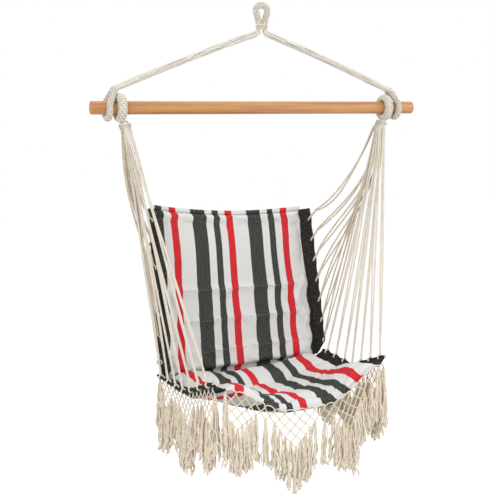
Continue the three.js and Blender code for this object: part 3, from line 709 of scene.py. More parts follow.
def winding_tree():
    """Winds cord round a path. Where it lies against its core it is marked for painted shade."""
    wire, sizes = geometry_tree("winding", {
        "Side": (0.0, 1.0, 0.0), "Width": loop_rope, "Depth": loop_rope, "Taper": 0.0,
        "Cord": winding_cord, "Starts": 2, "Turn Steps": 32, "Groove": winding_groove,
        "Material": rope_cotton})
    path = wire.add("GeometryNodeMeshToCurve", values={"Mesh": sizes["Geometry"]})
    length = wire.add("GeometryNodeSplineLength", out="Length")
    turns = (length / (sizes["Cord"] * sizes["Starts"])).maths("ROUND")
    fine = wire.add("GeometryNodeResampleCurve", {"mode": "COUNT"},
                    {"Curve": path, "Count": turns * sizes["Turn Steps"] + 1})
    starts = wire.add("GeometryNodeDuplicateElements", {"domain": "SPLINE"},
                      {"Geometry": fine, "Amount": sizes["Starts"]})
    along = wire.add("GeometryNodeSplineParameter", out="Factor")
    angle = (along * turns + starts.also("Duplicate Index") / sizes["Starts"]) * math.tau
    tangent = wire.add("GeometryNodeInputTangent")
    side = sizes["Side"]
    leaning = tangent.scaled(side.vector("DOT_PRODUCT", tangent))
    across = side.vector("SUBTRACT", leaning).vector("NORMALIZE")
    over = tangent.vector("CROSS_PRODUCT", across)
    end = (along * 2 - 1).maths("ABSOLUTE")
    half = (1 - sizes["Taper"] * end * end * end) * 0.5
    out = across.scaled(angle.maths("COSINE") * (sizes["Depth"] - sizes["Cord"]) * half)
    out = out.vector("ADD", over.scaled(
        angle.maths("SINE") * (sizes["Width"] - sizes["Cord"]) * half))
    wound = wire.add("GeometryNodeSetPosition", values={"Geometry": starts, "Offset": out})
    wound = marked(wound, "outwards", out.vector("NORMALIZE"), "FLOAT_VECTOR")
    wound = marked(wound, "middle", wire.add("GeometryNodeInputPosition"), "FLOAT_VECTOR")
    twist = wire.add("GeometryNodeSplineParameter", out="Length") / (sizes["Cord"] * 2.6) * math.tau
    wound = wire.add("GeometryNodeSetCurveTilt", values={"Curve": wound, "Tilt": twist})
    section = three_lobes(wire, sizes["Cord"] * 0.5, sizes["Groove"])
    cord_skin = wire.add("GeometryNodeCurveToMesh", values={
        "Curve": wound, "Profile Curve": section, "Fill Caps": True})
    place = wire.add("GeometryNodeInputPosition")
    kept = [wire.add("GeometryNodeInputNamedAttribute", {"data_type": "FLOAT_VECTOR"},
                     {"Name": name}) for name in ("middle", "outwards")]
    # Painted shade: the deeper a point of the cord lies towards the core, the darker the cotton is
    # painted there.
    proud = place.vector("SUBTRACT", kept[0]).vector("DOT_PRODUCT", kept[1])
    sunk = 1 - proud / (sizes["Cord"] * 0.5)
    cord_skin = marked(cord_skin, "sunk", sunk.maths("MINIMUM", 1))
    return finish_tree(wire, cord_skin, sizes["Material"])


winding = winding_tree()


def served(name, line, closed, width, depth, side, taper=0.0, starts=2, cord=winding_cord):
    """A core along a line with cord wound round it, as one object. Its depth is along the side."""
    last = len(line) - 1
    rings = []
    for i, point in enumerate(line):
        before = line[i - 1] if closed else line[max(i - 1, 0)]
        after = line[(i + 1) % len(line)] if closed else line[min(i + 1, last)]
        tangent = (after - before).normalized()
        across = (side - tangent * side.dot(tangent)).normalized()
        over = tangent.cross(across)
        half = (1 - taper * abs(2 * i / last - 1) ** 3) / 2
        if not closed and i in (0, last):
            point = point + tangent * (core_overhang if i else -core_overhang)
        rings.append(ring(point, across * (depth - 1.5 * cord) * half,
                          over * (width - 1.5 * cord) * half, core_sides))
    core = swept("core", rings, rope_cotton, closed)
    wound = grown("winding", polylines([line], closed), winding, side=tuple(side), width=width,
                  depth=depth, taper=taper, cord=cord, starts=starts, material=rope_cotton)
    return joined(name, [core, wound])


def joined(name, parts):
    """Several objects made one, each with its own material kept."""
    work = bmesh.new()
    materials = []
    for part in parts:
        start = len(work.faces)
        work.from_mesh(part.data)
        work.faces.ensure_lookup_table()
        if part.data.materials[0] not in materials:
            materials.append(part.data.materials[0])
        for face in work.faces[start:]:
            face.material_index = materials.index(part.data.materials[0])
        bpy.data.objects.remove(part)
    mesh = bpy.data.meshes.new(name)
    work.to_mesh(mesh)
    work.free()
    for material in materials:
        mesh.materials.append(material)
    return linked(name, mesh)


def smooth_line(points, count, closed=False):
    """A Catmull-Rom line through points, with evenly spaced places along it."""
    total = len(points)
    dense = []
    spans = total if closed else total - 1
    for i in range(spans):
        near = [points[(i + k) % total] if closed else points[min(max(i + k, 0), total - 1)]
                for k in (-1, 0, 1, 2)]
        for step in range(12):
            t = step / 12
            a = near[1] * 2
            b = (near[2] - near[0]) * t
            c = (near[0] * 2 - near[1] * 5 + near[2] * 4 - near[3]) * t * t
            d = (near[1] * 3 - near[0] - near[2] * 3 + near[3]) * t**3
            dense.append((a + b + c + d) / 2)
    dense.append(points[0] if closed else points[-1])
    reached = [0]
    for here, there in zip(dense, dense[1:]):
        reached.append(reached[-1] + (there - here).length)
    line = []
    at = 0
    for i in range(count):
        wanted = reached[-1] * i / (count if closed else count - 1)
        while at < len(dense) - 2 and reached[at + 1] < wanted:
            at += 1
        span = reached[at + 1] - reached[at]
        line.append(dense[at].lerp(dense[at + 1], (wanted - reached[at]) / max(span, 1e-9)))
    return line


loop_eye = (loop_hole_width + loop_rope) / 2
loop_half = [Vector((loop_leg_x, 0, -0.042)), Vector((loop_leg_x, 0, -0.034)),
             Vector((0.0142, 0, -0.019))]
loop_arc = [Vector((loop_eye * math.cos(a), 0, loop_eye * math.sin(a) - loop_hole_width / 2))
            for a in (math.pi * i / 8 for i in range(9))]
loop_line = loop_half + loop_arc + [Vector((-p.x, 0, p.z)) for p in reversed(loop_half)]
hang_loop = served("hang_loop_served", smooth_line(loop_line, 60), False, loop_rope, loop_rope,
                   rearward)
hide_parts("hang_loop")
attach(hang_loop, "loop")

throat_head = Vector((0, 0, -loop_height - gap))
throat_foot = throat_head - Vector((0, 0, throat_height))
throat_line = [throat_head.lerp(throat_foot, i / 8) for i in range(9)]
throat = served("throat_lashing", throat_line, False, throat_width, throat_depth, rearward,
                taper=0.16, starts=1, cord=throat_cord)
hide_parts("throat_seizing")
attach(throat, "throat")


def leg_eye_line(side):
    """Round the bar from below and up to a narrow crown, which leans inwards."""
    round_bar = leg_rope / 2 + bar_radius + gap
    lift = leg_eye_rise - leg_eye_crown
    lean = math.asin((round_bar - leg_eye_crown) / lift)
    low = [math.pi - lean + (math.pi + 2 * lean) * i / 24 for i in range(25)]
    high = [lean + (math.pi - 2 * lean) * i / 8 for i in range(9)]
    outline = [(round_bar * math.cos(a), round_bar * math.sin(a)) for a in low]
    outline += [(leg_eye_crown * math.cos(a), lift + leg_eye_crown * math.sin(a)) for a in high]
    line = []
    for y, z in outline:
        inset = leg_eye_inset * (max(z, 0) / leg_eye_rise) ** 2
        line.append(Vector((side * (leg_eye_reach - inset) + eye_shift, y, z + bar_height)))
    return smooth_line(line, 90, True)


def knot_line(middle):
    """A trefoil, flat against the seizing's side."""
    line = []
    for i in range(60):
        a = math.tau * i / 60
        line.append(middle + Vector((
            math.cos(3 * a) * knot_depth,
            (math.sin(a) + 2 * math.sin(2 * a)) * knot_width,
            (math.cos(a) - 2 * math.cos(2 * a)) * knot_width)))
    return line


for side, side_name in sides:
    eye = served(f"leg_eye_{side_name}_served", leg_eye_line(side), True, leg_rope, leg_rope,
                 rightward)
    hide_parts(f"leg_eye_{side_name}")
    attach(eye, "hanger")

    middle = Vector((side * clew_reach + eye_shift, 0, bar_height))
    line = ring(middle, Vector((0, clew_radius, 0)), Vector((0, 0, clew_radius)), 80)
    clew = served(f"clew_ring_{side_name}_served", line, True, clew_rope, clew_width, rightward)
    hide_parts(f"clew_ring_{side_name}")
    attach(clew, "seat")

    foot = clew_foot(side)
    head = foot + Vector((side * seizing_lean, 0, seizing_height))
    line = [head.lerp(foot, i / 12) for i in range(13)]
    lashing = served("lashing", line, False, seizing_width, seizing_depth, rearward,
                     taper=0.1, starts=1)
    line = knot_line(foot.lerp(head, 0.6) + rightward * knot_reach)
    knot = grown("knot", polylines([line], True), laid_cord, diameter=winding_cord, step=0.001,
                 material=rope_cotton)
    lashing = joined(f"clew_lashing_{side_name}", [lashing, knot])
    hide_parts(f"clew_seizing_{side_name}")
    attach(lashing, "seat")


# Rope legs
# Each leg is a bundle of sixteen cords from the throat to its eye on the bar. They lie loosely side
# by side, turn slowly round each other and part a little.
leg_cords = ((11, 0.0074), (5, 0.0034))  # how many, and how far from the middle
leg_cord_diameter = 0.0042
leg_cord_lay = 0.016
leg_steps = 60
leg_bow = 0.004
leg_twist = 1.9  # in radians, from the throat to the bar
leg_head_share = 0.6  # how wide the bundle is at the throat, and then at the eye
leg_foot_share = 0.8
drawn = random.Random(11)


def leg_spine(side):
    """The middle of a leg, from under the throat to its eye's crown, and its direction."""
    top = Vector((side * (leg_rope + gap) / 2, 0, throat_foot.z - gap - leg_rope / 2))
    crown = Vector((side * (leg_eye_reach - leg_eye_inset) + eye_shift, 0,
                    bar_height + leg_eye_rise))
    direction = (crown - top).normalized()
    end = crown - direction * 0.004
    bend = [Vector((side * 0.0058, 0, -0.0622)), Vector((side * 0.0102, 0, -0.0662)),
            top + direction * 0.014, top + direction * 0.06, top.lerp(end, 0.5), end]
    spine = smooth_line(bend, leg_steps)
    for i, place in enumerate(spine):
        t = i / (leg_steps - 1)
        place.z += leg_bow * 4 * t * (1 - t)
    return spine, direction


def leg_cord_path(side, spine, direction, k, count, reach):
    """One cord of the bundle, which turns with the others and wanders a little."""
    over = direction.cross(rearward)
    phase = drawn.uniform(0, 9)
    wander = drawn.uniform(0.25, 0.5)
    path = []
    for i, place in enumerate(spine):
        t = i / (leg_steps - 1)
        drift = noise.noise(Vector((t * 7, phase, k))) * wander
        angle = math.tau * k / count + t * leg_twist * side + drift
        width = between(leg_head_share, 1, math.sin(math.pi * min(t * 9, 0.5)))
        width *= between(leg_foot_share, 1, math.sin(math.pi * min((1 - t) * 4, 0.5)))
        out = reach * width * (1 + 0.12 * noise.noise(Vector((phase, t * 9, k))))
        path.append(place + rearward * math.cos(angle) * out + over * math.sin(angle) * out)
    return path


for side, side_name in sides:
    spine, direction = leg_spine(side)
    paths = [leg_cord_path(side, spine, direction, k, count, reach)
             for count, reach in leg_cords for k in range(count)]
    leg = grown(f"rope_leg_{side_name}_bundle", polylines(paths), laid_cord,
                diameter=leg_cord_diameter, lay=leg_cord_lay, material=rope_cotton)
    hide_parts(f"rope_leg_{side_name}")
    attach(leg, "hanger")


# Canvases
# The chair hangs from one striped cotton canvas, a sheet behind the back and one under the seat,
# sewn together at the crease. The side hems, the bindings and the fringe are sewn to it.
stripe_repeat = 0.187
stripe_start = -0.125  # where a repeat begins, from the cloth's middle
stripes = (((0, 0.046), "dark"), ((0.070, 0.091), "dark"), ((0.114, 0.137), "red"))
cloth_half_width = 0.244
back_askew = 0.015
seat_askew = 0.016
weave_pitch = 0.0016
canvas_thickness = 0.0015
canvas_steps = 64
canvas_slack = 0.0035  # how far it hangs out between two seams
crease_lips = (Vector((0, 0.0012, -0.0011)), Vector((0, 0.012, -0.0022)))  # from the crease
front_roll = 0.042  # length of the seat cushion's roll over the front edge
back_seams = (0, 0.12, 0.31, 0.5, 1)  # as shares of the length, from the crease
seat_seams = (0, 0.3, 0.58, 1 - front_roll / seat_length, 1)


def weave(place, pitch):
    """Threads over and under each other: hills of 1 and hollows of -1."""
    across = place.add("ShaderNodeSeparateXYZ", values={"Vector": place})
    ribs, picks = [(way * (math.tau / pitch)).maths("SINE") for way in (across, across.also("Y"))]
    return ribs * picks


def striped_cloth():
    """Woven cotton in a pattern that repeats across it, from a UV map in metres."""
    made, shader, wire = finish("striped_cloth", {"Roughness": 0.92, "Specular IOR Level": 0.15})
    place = wire.add("ShaderNodeUVMap", {"uv_map": "cloth"})
    warp = place.stretched(900, 160, 1).noise()
    weft = place.stretched(160, 900, 1).noise()
    slubs = place.stretched(130, 520, 1).noise(1, 3)
    across = wire.add("ShaderNodeSeparateXYZ", values={"Vector": place}) + (warp - 0.5) * 0.0006
    phase = ((across - stripe_start) / stripe_repeat).maths("FRACT") * stripe_repeat
    bands = {"dark": 0, "red": 0}
    for (low, high), colour in stripes:
        bands[colour] = (phase > low) * (phase < high) + bands[colour]
    heather = (warp * 0.2 + weft * 0.2 + slubs * 0.6).ranged(0.38, 0.62)
    white = heather.mixed(paint(221, 221, 219), paint(230, 230, 229))
    dark = heather.mixed(paint(34, 36, 35), paint(90, 92, 88))
    red = heather.mixed(paint(200, 38, 46), paint(222, 60, 64))
    bands["red"].mixed(bands["dark"].mixed(white, dark), red).into(shader["Base Color"])
    height = weave(place, weave_pitch) * 0.3 + warp * 0.35 + weft * 0.35
    height.bump(0.5, 0.0006).into(shader["Normal"])
    return made


cloth = striped_cloth()


def cloth_shift(panel, along):
    """How far the stripes stand to the left, because the cloth is sewn on a little askew."""
    return seat_askew if panel is seat_panel else back_askew * (1 - along)


def cloth_map(made, places):
    """Gives each vertex its place on the cloth, across and along it in metres."""
    layer = made.data.uv_layers.new(name="cloth")
    for loop in made.data.loops:
        layer.data[loop.index].uv = places[loop.vertex_index]


def grid_faces(rows, columns, start=0, turned=False):
    """The faces between rows of points, from the first point's number."""
    faces = []
    for r in range(rows - 1):
        for c in range(columns - 1):
            a = start + r * columns + c
            face = (a, a + 1, a + columns + 1, a + columns)
            faces.append(tuple(reversed(face)) if turned else face)
    return faces


def rim(rows, columns):
    """The places round the border of a grid, in order."""
    first = list(range(columns))
    right = [r * columns + columns - 1 for r in range(1, rows)]
    last = [(rows - 1) * columns + c for c in range(columns - 2, -1, -1)]
    left = [r * columns for r in range(rows - 2, 0, -1)]
    return first + right + last + left


def canvas(panel, name, seams):
    """A sheet, slack between the cushion's seams. The seat's has a lip behind the crease."""
    lips = crease_lips if panel is seat_panel else ()
    front, rear, places = [], [], []
    for r in range(-len(lips), canvas_steps + 1):
        along = between(gap / panel.length, 1, max(r, 0) / canvas_steps)
        lip = lips[-r - 1] if r < 0 else Vector()
        nearest = min(abs(along - seam) for seam in seams)
        for c in range(canvas_steps + 1):
            across = 2 * c / canvas_steps - 1
            ripple = noise.noise(Vector((across * 5, along * 9, panel.length * 40)))
            swell = eased(0, 0.06, nearest) * (1 - across**8)
            swell *= canvas_slack * (0.7 + 0.6 * ripple)
            front.append(panel.point(across, along, -swell) + lip)
            rear.append(panel.point(across, along, -swell - canvas_thickness) + lip)
            places.append((across * cloth_half_width + cloth_shift(panel, along),
                           along * panel.length))
    columns = canvas_steps + 1
    rows = columns + len(lips)
    count = len(front)
    faces = grid_faces(rows, columns) + grid_faces(rows, columns, count, True)
    border = rim(rows, columns)
    for a, b in zip(border, border[1:] + border[:1]):
        faces.append((b, a, count + a, count + b))
    made = mesh_object(name, front + rear, faces, cloth)
    face_outwards(made)
    cloth_map(made, places * 2)
    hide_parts(f"{panel.name}_canvas")
    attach(made, panel.name)
    return made


back_canvas = canvas(back_panel, "back_canvas_sheet", back_seams)
seat_canvas = canvas(seat_panel, "seat_canvas_sheet", seat_seams)


# Cushions
# A cover of the same striped cloth over loose cotton filling, quilted through to the canvas along
# straight seams. The filling swells between them and the sides draw in.
cushion_edge = 0.005  # thickness round the border
cushion_setback = 0.008  # from the crease
cushion_cell = 0.007  # from one row of points to the next
cushion_columns = 76
cushion_inset = 0.001
cushion_pull = 0.004  # how far the sides draw in between seams
back_crown = 0.03
seat_crown = 0.034
back_stripe_drift = 0.002
seat_stripe_drift = 0.011
swell_limit = 0.008  # how far the filling may lift the cover
swell_frames = 20
seam_tuck = 0.0022  # depth of the tucks along a seam
tuck_reach = 0.016
side_fold = 0.005  # and of the folds near the sides
stitch_pitch = 0.0042
stitch_length = 0.003
stitch_radius = 0.0004
# Each row of stitches or turn of the cover, with its height there as a share of the crown.
back_rows = (*zip(back_seams, (0, 0.85, 0.9, 0.95)), (0.94, 0.4), (1, 0))
seat_rows = tuple(zip(seat_seams, (0, 0.85, 0.85, 0.9, 0)))


def sewing_thread():
    """Grey cotton thread, a little mottled."""
    made, shader, wire = finish("sewing_thread", {"Roughness": 0.8})
    fibre = wire.add("ShaderNodeTexCoord", out="Object").noise(900)
    fibre.mixed(paint(124, 121, 115), paint(152, 149, 142)).into(shader["Base Color"])
    return made


thread = sewing_thread()


def stitches_tree():
    """A row of stitches along each path, as short straight threads with gaps between them."""
    wire, sizes = geometry_tree("stitches", {
        "Pitch": stitch_pitch, "Length": stitch_length, "Radius": stitch_radius,
        "Material": thread})
    path = wire.add("GeometryNodeMeshToCurve", values={"Mesh": sizes["Geometry"]})
    points = wire.add("GeometryNodeCurveToPoints", {"mode": "LENGTH"},
                      {"Curve": path, "Length": sizes["Pitch"]})
    line = wire.add("GeometryNodeCurvePrimitiveLine", {"mode": "DIRECTION"},
                    {"Direction": (0, 0, 1), "Length": sizes["Length"]})
    section = wire.add("GeometryNodeCurvePrimitiveCircle", {"mode": "RADIUS"},
                       {"Resolution": 5, "Radius": sizes["Radius"]})
    stitch = wire.add("GeometryNodeCurveToMesh", values={
        "Curve": line, "Profile Curve": section, "Fill Caps": True})
    row = wire.add("GeometryNodeInstanceOnPoints", values={
        "Points": points, "Instance": stitch, "Rotation": points.also("Rotation")})
    return finish_tree(wire, row, sizes["Material"])


stitches = stitches_tree()


def cushion_rows(panel, seams, crown):
    """Each row's place along a cushion, its share of the way between two seams, and its height."""
    setback = cushion_setback / panel.length
    rows = []
    for (low, low_height), (high, high_height) in zip(seams, seams[1:]):
        room = (high - low) * panel.length
        steps = max(round(room / cushion_cell), 4)
        for i in range(steps):
            share = i / steps
            base = between(low_height, high_height, share)
            swell = max(min(room / crown / 2, 1) - base, 0) * math.sqrt(math.sin(math.pi * share))
            height = between(cushion_edge, crown, base + swell)
            rows.append((between(setback, 1, between(low, high, share)), share, height))
    rows.append((1, 1, cushion_edge))
    return rows


def padded_cushion(panel, name, seams, crown, drift):
    """A cushion's cover, over a flat under side. Gives it and its rows that are sewn down."""
    rows = cushion_rows(panel, seams, crown)
    even = [2 * c / (cushion_columns - 1) - 1 for c in range(cushion_columns)]
    spread = [between(t, math.sin(t * math.pi / 2), 0.6) for t in even]
    front, rear, places = [], [], []
    for row in rows:
        along, share, lift = row
        drawn_in = cushion_inset + cushion_pull * math.sin(math.pi * share)
        narrow = 1 - 2 * drawn_in / crease_width
        for c in spread:
            on_border = abs(c) > 0.9999 or row in (rows[0], rows[-1])
            height = cushion_edge / 2 if on_border else lift * math.sqrt(1 - c**6)
            front.append(panel.point(c * narrow, along, gap + height))
            rear.append(panel.point(c * narrow, along, gap + on_border * height))
            wander = noise.noise(Vector((c * 1.3, along * 6, crown * 90))) * drift
            places.append((c * cloth_half_width + wander * (1 - c**6) + cloth_shift(panel, along),
                           along * panel.length))
    count = len(front)
    border = set(rim(len(rows), cushion_columns))
    lower = {i: count + n for n, i in enumerate(i for i in range(count) if i not in border)}
    faces = grid_faces(len(rows), cushion_columns)
    for face in grid_faces(len(rows), cushion_columns, 0, True):
        faces.append(tuple(lower.get(i, i) for i in face))
    made = mesh_object(name, front + [rear[i] for i in lower], faces, cloth)
    face_outwards(made)
    cloth_map(made, places + [places[i] for i in lower])
    seam_rows = [i for i, row in enumerate(rows) if row[1] == 0 and 0 < i]
    held = border | set(lower.values())
    held |= {i * cushion_columns + c for i in seam_rows for c in range(cushion_columns)}
    inflate(made, held, swell_limit)
    pucker(made, panel, rows, spread, seam_rows)
    return made, seam_rows


def inflate(made, held, most):
    """Blows a cushion up between its seams, and moves no point of it further than a limit."""
    start = [vertex.co.copy() for vertex in made.data.vertices]
    made.vertex_groups.new(name="held").add(sorted(held), 1, "REPLACE")
    modifier = made.modifiers.new("cloth", "CLOTH")
    settings = modifier.settings
    settings.quality = 6
    settings.mass = 0.2
    settings.tension_stiffness = 12
    settings.compression_stiffness = 12
    settings.shear_stiffness = 4
    settings.bending_stiffness = 0.08
    settings.use_pressure = True
    settings.uniform_pressure_force = 4
    settings.shrink_min = -0.05
    settings.vertex_group_mass = "held"
    settings.effector_weights.gravity = 0
    modifier.point_cache.frame_start = 1
    modifier.point_cache.frame_end = swell_frames
    for frame_number in range(1, swell_frames + 1):
        scene.frame_set(frame_number)
    seen = made.evaluated_get(bpy.context.evaluated_depsgraph_get())
    ends = [vertex.co.copy() for vertex in seen.data.vertices]
    made.modifiers.remove(modifier)
    scene.frame_set(1)
    for vertex, first, last in zip(made.data.vertices, start, ends):
        move = last - first
        vertex.co = first + move * min(1, most / max(move.length, 1e-9))


def pucker(made, panel, rows, spread, seam_rows):
    """Draws the cover in along its seams, and lets it ripple towards its sides."""
    vertices = made.data.vertices
    turned = panel.place.to_3x3()
    for r in range(1, len(rows) - 1):
        along = rows[r][0]
        nearest = min(seam_rows, key=lambda s: abs(rows[s][0] - along))
        away = abs(rows[nearest][0] - along) * panel.length
        for c, across in enumerate(spread[1:-1], 1):
            out = turned @ panel.directions(across, along)[2]
            tuck = noise.noise(Vector((across * 17, nearest * 3.1, 0)))
            fold = noise.noise(Vector((across * 2, along * 13, 5)))
            near_side = eased(0.55, 0.92, abs(across)) * (1 - eased(0.97, 1, abs(across)))
            move = seam_tuck * tuck * math.exp(-(away / tuck_reach) ** 2)
            vertices[r * cushion_columns + c].co += out * (move + side_fold * fold * near_side)


def sewn_seams(name, made, seam_rows):
    """Rows of stitches that follow the cushion's seams."""
    points = [vertex.co.copy() for vertex in made.data.vertices]
    lines = [points[s * cushion_columns + 1:(s + 1) * cushion_columns - 1] for s in seam_rows]
    return grown(name, polylines(lines), stitches, material=thread)


back_cushion, back_seam_rows = padded_cushion(
    back_panel, "back_cushion_cover", back_rows, back_crown, back_stripe_drift)
back_seam_stitches = sewn_seams("back_stitches", back_cushion, back_seam_rows)
seat_cushion, seat_seam_rows = padded_cushion(
    seat_panel, "seat_cushion_cover", seat_rows, seat_crown, seat_stripe_drift)
seat_seam_stitches = sewn_seams("seat_stitches", seat_cushion, seat_seam_rows[:-1])
for cushion, seams, body in ((back_cushion, back_seam_stitches, "back"),
                             (seat_cushion, seat_seam_stitches, "seat")):
    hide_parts(f"{body}_cushion")
    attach(cushion, body)
    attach(seams, body)
    smoothing = cushion.modifiers.new("smoothing", "SUBSURF")
    smoothing.levels = 1
    smoothing.render_levels = 1


# Side hems and edge ropes
# A coarse black webbing band folded round a cotton edge rope and sewn to the canvas's side. The
# side cords go through it at their eyelets and pull it into scallops.
webbing_pitch = 0.0022
hem_wall = 0.0015
hem_root = 0.009  # how far its two layers lie over the canvas
half_slit = 0.0001  # between the two layers
hem_steps = 150
hem_scallop = 0.0012  # how far the cords draw it out
hem_wrinkle = 0.0008
hem_lift = 0.0012
tongue_end = 0.009  # from the crease up to the lowest point of the back's hems
tongue_steps = 8
tongue_width_shares = (0.85, 0.38)  # of a hem's width, from its eyelets down
edge_rope_end = 0.002  # how far the rope stands out of its hem


def black_webbing():
    """Coarse plain weave, black with pale flecks, from a UV map in metres."""
    made, shader, wire = finish("black_webbing", {"Roughness": 0.93, "Specular IOR Level": 0.12})
    place = wire.add("ShaderNodeUVMap", {"uv_map": "cloth"})
    pale = place.stretched(430, 290, 1).noise(1, 3).ranged(0.55, 0.66)
    streak = place.stretched(380, 40, 1).noise()
    base = (streak * 1.6 - 0.3).mixed(paint(22, 20, 19), paint(60, 58, 54))
    (pale * 0.6).mixed(base, paint(150, 146, 136)).into(shader["Base Color"])
    height = weave(place, webbing_pitch) * 0.6 + streak * 0.5
    height.bump(0.8, 0.0012).into(shader["Normal"])
    return made


webbing = black_webbing()


def hem_arc(rope_at, radius, opening):
    """Round the edge rope, from under it outwards and back over it."""
    angles = [-math.pi + opening + (math.tau - 2 * opening) * i / 16 for i in range(17)]
    return [(rope_at + radius * math.cos(a), radius * math.sin(a)) for a in angles]


def folded_outline(rope_at):
    """The band's section: two layers from the root, and round the edge rope between them."""
    half = hem_thickness / 2
    reach = rope_at - hem_round
    lower = [(-hem_root, -half), (reach / 2, -half), (reach, -half)]
    upper = [(x, half) for x, _ in reversed(lower)]
    outer = hem_arc(rope_at, hem_round, math.asin(half / hem_round))
    inner = hem_arc(rope_at, hem_round - hem_wall, 0.25)[::-1]
    return (lower + outer + upper + [(-hem_root, half_slit), (reach, half_slit)]
            + inner + [(reach, -half_slit), (-hem_root, -half_slit)])


def hem_pull(panel, side, share):
    """How far a hem stands out: most at its eyelets, where the cords pull, with a few wrinkles."""
    pairs = pairs_along_back if panel is back_panel else pairs_along_seat
    reached = (share - eyelet_margin_share) / (1 - 2 * eyelet_margin_share)
    wrinkle = noise.noise(Vector((share * 26, side, panel.length)))
    return hem_scallop * math.cos(math.tau * reached * (pairs - 1)) + hem_wrinkle * wrinkle


def side_hem(panel, side, side_name):
    """The band: its root lies flat on the canvas, and the back's ends low down in a tongue."""
    turn = panel.hem_turn
    tongue = max(panel.hem_setback - tongue_end, 0) / (panel.length - panel.hem_setback)
    rings, places = [], []
    for i in range(-tongue_steps if tongue else 0, hem_steps + 1):
        share = i / hem_steps if i > 0 else tongue * i / tongue_steps
        narrow = 1 if i > -2 else between(*tongue_width_shares, (-2 - i) / (tongue_steps - 2))
        origin, across, upward, _ = panel.hem_frame(side, share)
        outward = across * math.cos(turn) - upward * math.sin(turn)
        out = across * math.sin(turn) + upward * math.cos(turn)
        pull = hem_pull(panel, side, share)
        lift = hem_lift * noise.noise(Vector((share * 17, side * 3, panel.length * 7)))
        here = []
        for x, y in folded_outline(panel.rope_at(max(share, 0))):
            if x < 0:
                here.append(origin + outward * x + out * y)
            else:
                reach = x * narrow / hem_width
                here.append(origin + across * (x * narrow + pull * reach)
                            + upward * (y + lift * reach))
            places.append((x + abs(y), share * panel.length))
        rings.append(here)
    made = swept(f"{panel.name}_hem_{side_name}_band", rings, webbing)
    cloth_map(made, places)
    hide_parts(f"{panel.name}_hem_{side_name}")
    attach(made, panel.name)
    return made


def edge_cord(panel, side, side_name):
    """The cotton rope in a hem's fold, which stands out of it at both ends."""
    line = []
    for i in range(61):
        share = i / 60
        extra = {0: -edge_rope_end, 60: edge_rope_end}.get(i, 0)
        origin, across, _, _ = panel.hem_frame(side, share, extra)
        line.append(origin + across * (panel.rope_at(share, extra) + hem_pull(panel, side, share)))
    made = grown(f"{panel.name}_edge_cord_{side_name}", polylines([line]), laid_cord,
                 diameter=edge_rope, material=cord_cotton)
    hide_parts(f"{panel.name}_edge_rope_{side_name}")
    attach(made, panel.name)


hems = {"back": [], "seat": []}
for panel in (back_panel, seat_panel):
    for side, side_name in sides:
        hems[panel.name].append(side_hem(panel, side, side_name))
        edge_cord(panel, side, side_name)


# Top hem and front binding
# The canvas turned over along the top of the back, and a bias binding along the front of the seat,
# both in the striped cloth.
band_steps = 150
band_sides = 16
band_lap = 0.001  # how far it laps over the canvas's end
band_rise = 0.0009
band_gather = 0.0006
top_hem_height = 0.012
top_hem_thickness = 0.005
front_binding_height = 0.008
front_binding_thickness = 0.005


def end_band(panel, name, height, thickness):
    """A band along a panel's end, with a section between a square and a circle."""
    rings, places = [], []
    turned = panel.place.to_3x3()
    for i in range(band_steps + 1):
        column = 2 * i / band_steps - 1
        ahead, _, out = panel.directions(column, 1)
        gather = noise.noise(Vector((column * 36, height * 900, 0)))
        centre = panel.surface(column, 1) + ahead * (gap + height / 2 - band_lap)
        centre += out * (thickness / 2 + band_rise + band_gather * gather)
        slip = cloth_shift(panel, 1) + 0.004 * noise.noise(Vector((column * 9, 4, 0)))
        here = []
        for k in range(band_sides):
            angle = math.tau * k / band_sides
            x, y = math.cos(angle), math.sin(angle)
            square = 1 / (abs(x) ** 3 + abs(y) ** 3) ** (1 / 3)
            here.append(panel.place @ centre + turned @ ahead * (x * square * height / 2)
                        + turned @ out * (y * square * thickness / 2 * (1 + 0.25 * gather)))
            places.append((column * cloth_half_width + slip, panel.length + x * height / 2))
        rings.append(here)
    made = swept(name, rings, cloth)
    cloth_map(made, places)
    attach(made, panel.name)
    return made


top_hem = end_band(back_panel, "top_hem_roll", top_hem_height, top_hem_thickness)
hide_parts("top_hem")
front_binding = end_band(seat_panel, "front_binding_roll", front_binding_height,
                         front_binding_thickness)
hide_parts("front_binding")


# Fringe
# Undyed cotton cord knotted into a net of diamonds, which hangs in scallops from the front binding
# and from both side hems. A loose tassel hangs from each lowest knot.
cell_width = 0.0147  # of half a diamond
cell_drop = 0.0156
net_rows = (2, 6)  # the least and the most
scallop_cells = 12  # half cells from one deep point of the net to the next
scallop_start = 2
net_cord = 0.0037
net_cord_lay = 0.0095
net_slack = 0.0022
net_sag = 0.0012
knot_half = 0.003
knot_cord = 0.0028
knot_cord_lay = 0.012
overhand_radius = 0.0022
turns_radius = 0.003  # of the cord that binds a tassel's neck
turns_pitch = 0.0021
turns_drop = 0.004
arch_reach = 0.0065
arch_rise = 0.0125
tassel_length = 0.124
tassel_drop = 0.002
tassel_neck = 0.006
tassel_spread = 0.0125
tassel_wave = 0.005
tassel_yarns = 8
yarn_radius = 0.0025
yarn_gap = 0.0014
root_count = 25
front_fringe_drop = 0.00075
side_fringe_drop = 0.0015
fringe_seat_share = 0.6  # where across the side hem its fringe is sewn
sling_down = sling.to_3x3() @ Vector((0, 0, -1))
fringe_cotton = cotton("fringe_cotton", (255, 248, 232), (249, 231, 204), 800)


